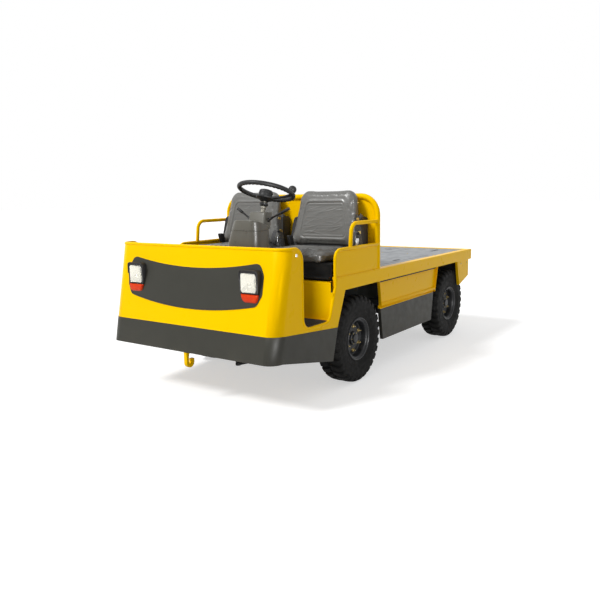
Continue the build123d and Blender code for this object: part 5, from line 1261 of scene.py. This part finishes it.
# Deck: the fixed plates round the lids, with a hatch and two stake slots cut out of the rear one
REAR_XS = (-0.645, -0.456, -0.431, -0.167, 0.167, 0.431, 0.456, 0.645)
REAR_YS = (0.846, 0.870, 1.158, 1.236, 1.326, 1.438)
REAR_OPEN = {(3, 1), (3, 2), (1, 2), (1, 3), (5, 2), (5, 3)}
LIDS_Y = (-0.155, 0.845)
FRONT_PLATE_X, FRONT_PLATE_Y = (-0.645, 0.645), (-0.244, -0.156)
SIDE_PLATE_X, MIDDLE_STRIP_X = (0.566, 0.645), (-0.018, 0.018)
HATCH = dict(width=0.330, height=0.362, radius=0.010, thickness=0.005, bevel=0.0012)
HATCH_Y = 1.053
HATCH_GRIP = dict(width=0.070, height=0.028, radius=0.012, thickness=0.0010, bevel=0.0004)
HATCH_GRIPS_Y = (0.905, 1.200)


def cut_plate(xs, ys, open_cells=()):
    """A flat plate on a grid of x and y lines, closed: a quad above and below each cell that isn't open,
    and an upright quad wherever such a cell meets an open one or the edge."""
    filled = np.ones((len(xs) - 1, len(ys) - 1), bool)
    for cell in open_cells:
        filled[cell] = False
    filled = np.pad(filled, 1)
    verts = np.array([(x, y, z) for z in (DECK_LOW, DECK_TOP) for x in xs for y in ys])
    steps = ((0, 0), (1, 0), (1, 1), (0, 1))
    neighbours = ((0, -1), (1, 0), (0, 1), (-1, 0))

    def at(i, j, level):
        return (level * len(xs) + i) * len(ys) + j

    faces = []
    for i, j in np.argwhere(filled) - 1:
        round_cell = [(i + di, j + dj) for di, dj in steps]
        faces += [[at(*corner, level) for corner in round_cell] for level in (0, 1)]
        for (di, dj), a, b in zip(neighbours, round_cell, round_cell[1:] + round_cell[:1]):
            if not filled[i + 1 + di, j + 1 + dj]:
                faces.append([at(*a, 0), at(*b, 0), at(*b, 1), at(*a, 1)])
    used, numbers = np.unique(faces, return_inverse=True)
    return verts[used], numbers.reshape(-1, 4).tolist()


rear_plate = cut_plate(REAR_XS, REAR_YS, REAR_OPEN)
front_plate = cut_plate(FRONT_PLATE_X, FRONT_PLATE_Y)
side_plate = cut_plate(SIDE_PLATE_X, LIDS_Y)
middle_strip = cut_plate(MIDDLE_STRIP_X, LIDS_Y)
plates = joined([rear_plate, front_plate, mirrored(side_plate), middle_strip])
edged(slot_piece("deck_fixed_plates", plates, "chassis", "deck_plate", 30.0, ["deck_plates"]), 0.0012)
hatch = placed(slab(**HATCH, per_corner=6, steps=2), (0, HATCH_Y, DECK_LOW))
grip = slab(**HATCH_GRIP, steps=1)
slot_piece("deck_hatch", hatch, "chassis", "deck_plate", 30.0)
grips = joined([placed(grip, (0, y, DECK_TOP)) for y in HATCH_GRIPS_Y])
slot_piece("hatch_grips", grips, "chassis", "black_paint")

# Lid hinges: two knuckles with leaves round a pin, near both ends of each lid
HINGE_X, LEAF_X = 0.030, 0.012
HINGES_Y = (-0.0015, 0.6915)
KNUCKLE_R, PIN_R = 0.006, 0.0029
knuckles = []
for side, y in itertools.product((1, -1), HINGES_Y):
    x = side * HINGE_X
    for start, end in ((y - 0.060, y - 0.031), (y + 0.031, y + 0.060)):
        knuckles.append(tube([(x, start, DECK_TOP), (x, end, DECK_TOP)], KNUCKLE_R, 20))
        knuckles.append(box_shape((side * LEAF_X, start, 0.7332), (x, end, 0.7388), 0.001))
    knuckles.append(tube([(x, y - 0.0615, DECK_TOP), (x, y + 0.0615, DECK_TOP)], PIN_R))
piece("hinge_knuckles", joined(knuckles), "chassis", STEEL, sharp=30.0)

# Floor mat ribs, across the cab and round the console
MAT_TOP = 0.4765
MAT_HALF_W, MAT_NOSE_HALF_W, MAT_NOSE_Y = 0.655, 0.62, -1.30
CONSOLE_RIGHT, CONSOLE_LEFT, CONSOLE_REAR_Y = 0.183, 0.417, -1.066
ribs = []
for y in np.arange(-1.330, -0.886, 0.0125):
    reach = MAT_HALF_W if y > MAT_NOSE_Y else MAT_NOSE_HALF_W
    spans = [(-reach, reach)]
    if y < CONSOLE_REAR_Y:
        spans = [(-reach, CONSOLE_RIGHT), (CONSOLE_LEFT, reach)]
    for x0, x1 in spans:
        ribs.append(strap([(x0, y, MAT_TOP), (x1, y, MAT_TOP)], 0.0052, 0.0036, (0, 1, 0)))
slot_piece("mat_ribs", joined(ribs), "chassis", "floor_rubber", 50.0)

# Pedal ribs: along the pad's slope, a little above its face
PEDALS_X = (0.476, 0.124)
PAD_NORMAL = np.array([0, 1, 1]) / math.sqrt(2)
PAD_SLOPE = np.array([0, -1, 1]) / math.sqrt(2)
PEDAL_HALF_W = np.array([0.031, 0, 0])
treads = []
for x in PEDALS_X:
    head = np.array([x, -1.270, 0.536]) + PAD_NORMAL * 0.0102
    for offset in np.linspace(-0.036, 0.036, 7):
        middle = head + PAD_SLOPE * offset
        treads.append(strap([middle - PEDAL_HALF_W, middle + PEDAL_HALF_W], 0.006, 0.005, PAD_SLOPE))
slot_piece("pedal_ribs", joined(treads), "chassis", "floor_rubber", 50.0)

# Battery top, seen when the lids are up: cells in rows, each with a filler cap and two poles, linked
CELLS_X, CELLS_Y = np.linspace(-0.385, 0.385, 8), np.linspace(-0.065, 0.615, 3)
CELL = dict(width=0.100, height=0.212, radius=0.006, thickness=0.010, bevel=0.003)
CELL_LOW, CELL_TOP = 0.7000, 0.7095
POLE_Y = 0.075
LINK_LONG, LINK_HALF_W, LINK_LOW, LINK_TOP = 0.110, 0.009, 0.7150, 0.7185
FILLER_CAP = ((0, 12), (13, 12), (15, 10), (15, 3), (17, 2), (17, 0), (0, 0))
POLE = ((0, 9), (6, 9), (7, 8), (7, 0), (0, 0))
cells, caps, links = [], [], []
for (i, x), y in itertools.product(enumerate(CELLS_X), CELLS_Y):
    cells.append(placed(slab(**CELL, steps=2), (x, y, CELL_LOW)))
    caps.append(placed(turned_up(FILLER_CAP, 20), (x, y, CELL_TOP)))
    links += [placed(turned_up(POLE, 16), (x, pole_y, CELL_TOP)) for pole_y in (y - POLE_Y, y + POLE_Y)]
    if i < len(CELLS_X) - 1:
        link_y = y + POLE_Y if i % 2 else y - POLE_Y
        near = (x, link_y - LINK_HALF_W, LINK_LOW)
        far = (x + LINK_LONG, link_y + LINK_HALF_W, LINK_TOP)
        links.append(box_shape(near, far, 0.001))
slot_piece("battery_cells", joined(cells), "chassis", "battery_case")
slot_piece("filler_caps", joined(caps), "chassis", "yellow_paint")
piece("cell_links", joined(links), "chassis", ZINC, sharp=30.0)

# Spring clamps: a bent rod over the axle on each side of each spring, with nuts under a plate; rows are
# an axle's y, half its depth, and the levels of the rods' ends and of the spring's top
CLAMP_ROWS = ((FRONT_AXLE_Y, 0.028, 0.240, 0.356), (REAR_AXLE_Y, 0.040, 0.232, 0.371))
SPRING_X, ROD_X, PLATE_X = 0.325, 0.031, 0.042
ROD_R, ROD_BEND = 0.0055, 0.012
clamps, plates_under = [], []
for (axle_y, half, low, top), side in itertools.product(CLAMP_ROWS, (1, -1)):
    middle, nut_z = side * SPRING_X, low + 0.012
    x0, x1 = middle - ROD_X, middle + ROD_X
    for y in (axle_y - half - 0.012, axle_y + half + 0.012):
        rod = [(x0, y, low), (x0, y, top + 0.006), (x1, y, top + 0.006), (x1, y, low)]
        clamps.append(tube(rounded(rod, ROD_BEND, 6), ROD_R, 12, up=(0, 1, 0)))
        clamps += [bolt((x, y, nut_z), (0, 0, -1), 0.009, 0.009) for x in (x0, x1)]
    near = (middle - PLATE_X, axle_y - half - 0.024, nut_z)
    far = (middle + PLATE_X, axle_y + half + 0.024, low + 0.020)
    plates_under.append(box_shape(near, far, 0.002))
piece("spring_clamps", joined(clamps), "chassis", ZINC, sharp=30.0)
slot_piece("clamp_plates", joined(plates_under), "chassis", "black_paint", 30.0)

# Tail lamps: a ribbed cover on each
TAIL_X, TAIL_Y, TAIL_Z = 0.560, 1.4312, 0.579
tail_lens = ribbed_plate(**TAIL_LENS)
for side, word, replaced in ((1, "left", ["tail_lamps"]), (-1, "right", [])):
    shape = placed(tail_lens, (side * TAIL_X, TAIL_Y, TAIL_Z), (side, 0, 0), (0, 0, 1), (0, 1, 0))
    slot_piece("tail_cover_" + word, shape, "chassis", "red_lens", 30.0, replaced)


# Floor and sky
def ray_share(tree, first, *others):
    """1 for rays of the named kinds and 0 for all the rest: the greatest of the light path's answers."""
    path = tree.nodes.new("ShaderNodeLightPath")
    share = path.outputs[first]
    for kind in others:
        greater = tree.nodes.new("ShaderNodeMath")
        greater.operation = "MAXIMUM"
        tree.links.new(share, greater.inputs[0])
        tree.links.new(path.outputs[kind], greater.inputs[1])
        share = greater.outputs[0]
    return share


def floor_material():
    """Pale floor: for the camera and in reflections it is lifted by a steady glow, so that it meets
    the white beyond it and still takes the shadow."""
    made = bpy.data.materials.new("floor")
    made.use_nodes = True
    tree = made.node_tree
    tree.nodes.clear()
    output = tree.nodes.new("ShaderNodeOutputMaterial")
    diffuse = tree.nodes.new("ShaderNodeBsdfDiffuse")
    diffuse.inputs["Color"].default_value = (0.60, 0.60, 0.60, 1.0)
    glow = tree.nodes.new("ShaderNodeEmission")
    lift = tree.nodes.new("ShaderNodeMath")
    lift.operation = "MULTIPLY"
    lift.inputs[1].default_value = 0.56
    both = tree.nodes.new("ShaderNodeAddShader")
    tree.links.new(ray_share(tree, "Is Camera Ray", "Is Glossy Ray"), lift.inputs[0])
    tree.links.new(lift.outputs[0], glow.inputs["Strength"])
    tree.links.new(diffuse.outputs[0], both.inputs[0])
    tree.links.new(glow.outputs[0], both.inputs[1])
    tree.links.new(both.outputs[0], output.inputs["Surface"])
    return made


def studio_sky():
    """White where the camera, reflections and glass see it; as a light a grey that grows paler with
    height."""
    world = bpy.data.worlds.new("studio")
    world.use_nodes = True
    tree = world.node_tree
    background = tree.nodes["Background"]
    background.inputs["Color"].default_value = (1.0, 1.0, 1.0, 1.0)
    direction = tree.nodes.new("ShaderNodeTexCoord")
    upward = tree.nodes.new("ShaderNodeSeparateXYZ")
    overhead = tree.nodes.new("ShaderNodeMapRange")
    overhead.inputs["To Min"].default_value = 0.26
    overhead.inputs["To Max"].default_value = 0.66
    level = tree.nodes.new("ShaderNodeMapRange")
    level.inputs["To Max"].default_value = 1.0
    shown = ray_share(tree, "Is Camera Ray", "Is Glossy Ray", "Is Transmission Ray")
    tree.links.new(direction.outputs["Generated"], upward.inputs[0])
    tree.links.new(upward.outputs["Z"], overhead.inputs["Value"])
    tree.links.new(overhead.outputs["Result"], level.inputs["To Min"])
    tree.links.new(shown, level.inputs["Value"])
    tree.links.new(level.outputs["Result"], background.inputs["Strength"])
    return world


FLOOR_REACH = 60.0
corners = [(-1, -1), (1, -1), (1, 1), (-1, 1)]
floor_mesh = bpy.data.meshes.new("floor")
floor_mesh.from_pydata([(x * FLOOR_REACH, y * FLOOR_REACH, 0) for x, y in corners], [], [[0, 1, 2, 3]])
floor_mesh.materials.append(floor_material())
floor = linked("floor", floor_mesh)
bpy.context.scene.world = studio_sky()


# Lights: a soft sun from the front, and a tall strip that only reflections show
def light(name, kind, energy, towards):
    """A light whose back points along a direction."""
    made = linked(name, bpy.data.lights.new(name, kind))
    made.data.energy = energy
    made.rotation_mode = "QUATERNION"
    made.rotation_quaternion = Vector(towards).to_track_quat("Z", "Y")
    return made


sun = light("key", "SUN", 2.65, (-0.35, -0.63, 0.69))
sun.data.angle = math.radians(14)
strip = light("strip", "AREA", 480.0, (4.45, -3.75, 0.25))
strip.location = (4.75, -4.75, 1.35)
strip.data.shape = "RECTANGLE"
strip.data.size, strip.data.size_y = 0.55, 3.0
strip.visible_diffuse = False
strip.visible_camera = False
strip.visible_transmission = False

# The camera's place, solved from the photograph's edges
AZIMUTH = math.radians(35.361)
ELEVATION = math.radians(9.379)
ROLL = math.radians(-1.009)
CAMERA_PLACE = (2.8186, -4.2221, 1.2661)
camera = linked("camera", bpy.data.cameras.new("camera"))
camera.data.lens = 38.712
camera.data.sensor_width = 36.0
camera.data.clip_end = 200.0
flat_back = Vector((math.sin(AZIMUTH), -math.cos(AZIMUTH), 0.0))
back = flat_back * math.cos(ELEVATION) + Vector((0.0, 0.0, math.sin(ELEVATION)))
right = Vector((math.cos(AZIMUTH), math.sin(AZIMUTH), 0.0))
up = back.cross(right)
rolled_right = right * math.cos(ROLL) + up * math.sin(ROLL)
rolled_up = up * math.cos(ROLL) - right * math.sin(ROLL)
pose = Matrix((rolled_right, rolled_up, back)).transposed().to_4x4()
pose.translation = CAMERA_PLACE
camera.matrix_world = pose
bpy.context.scene.camera = camera
bpy.context.scene.view_settings.view_transform = "Standard"
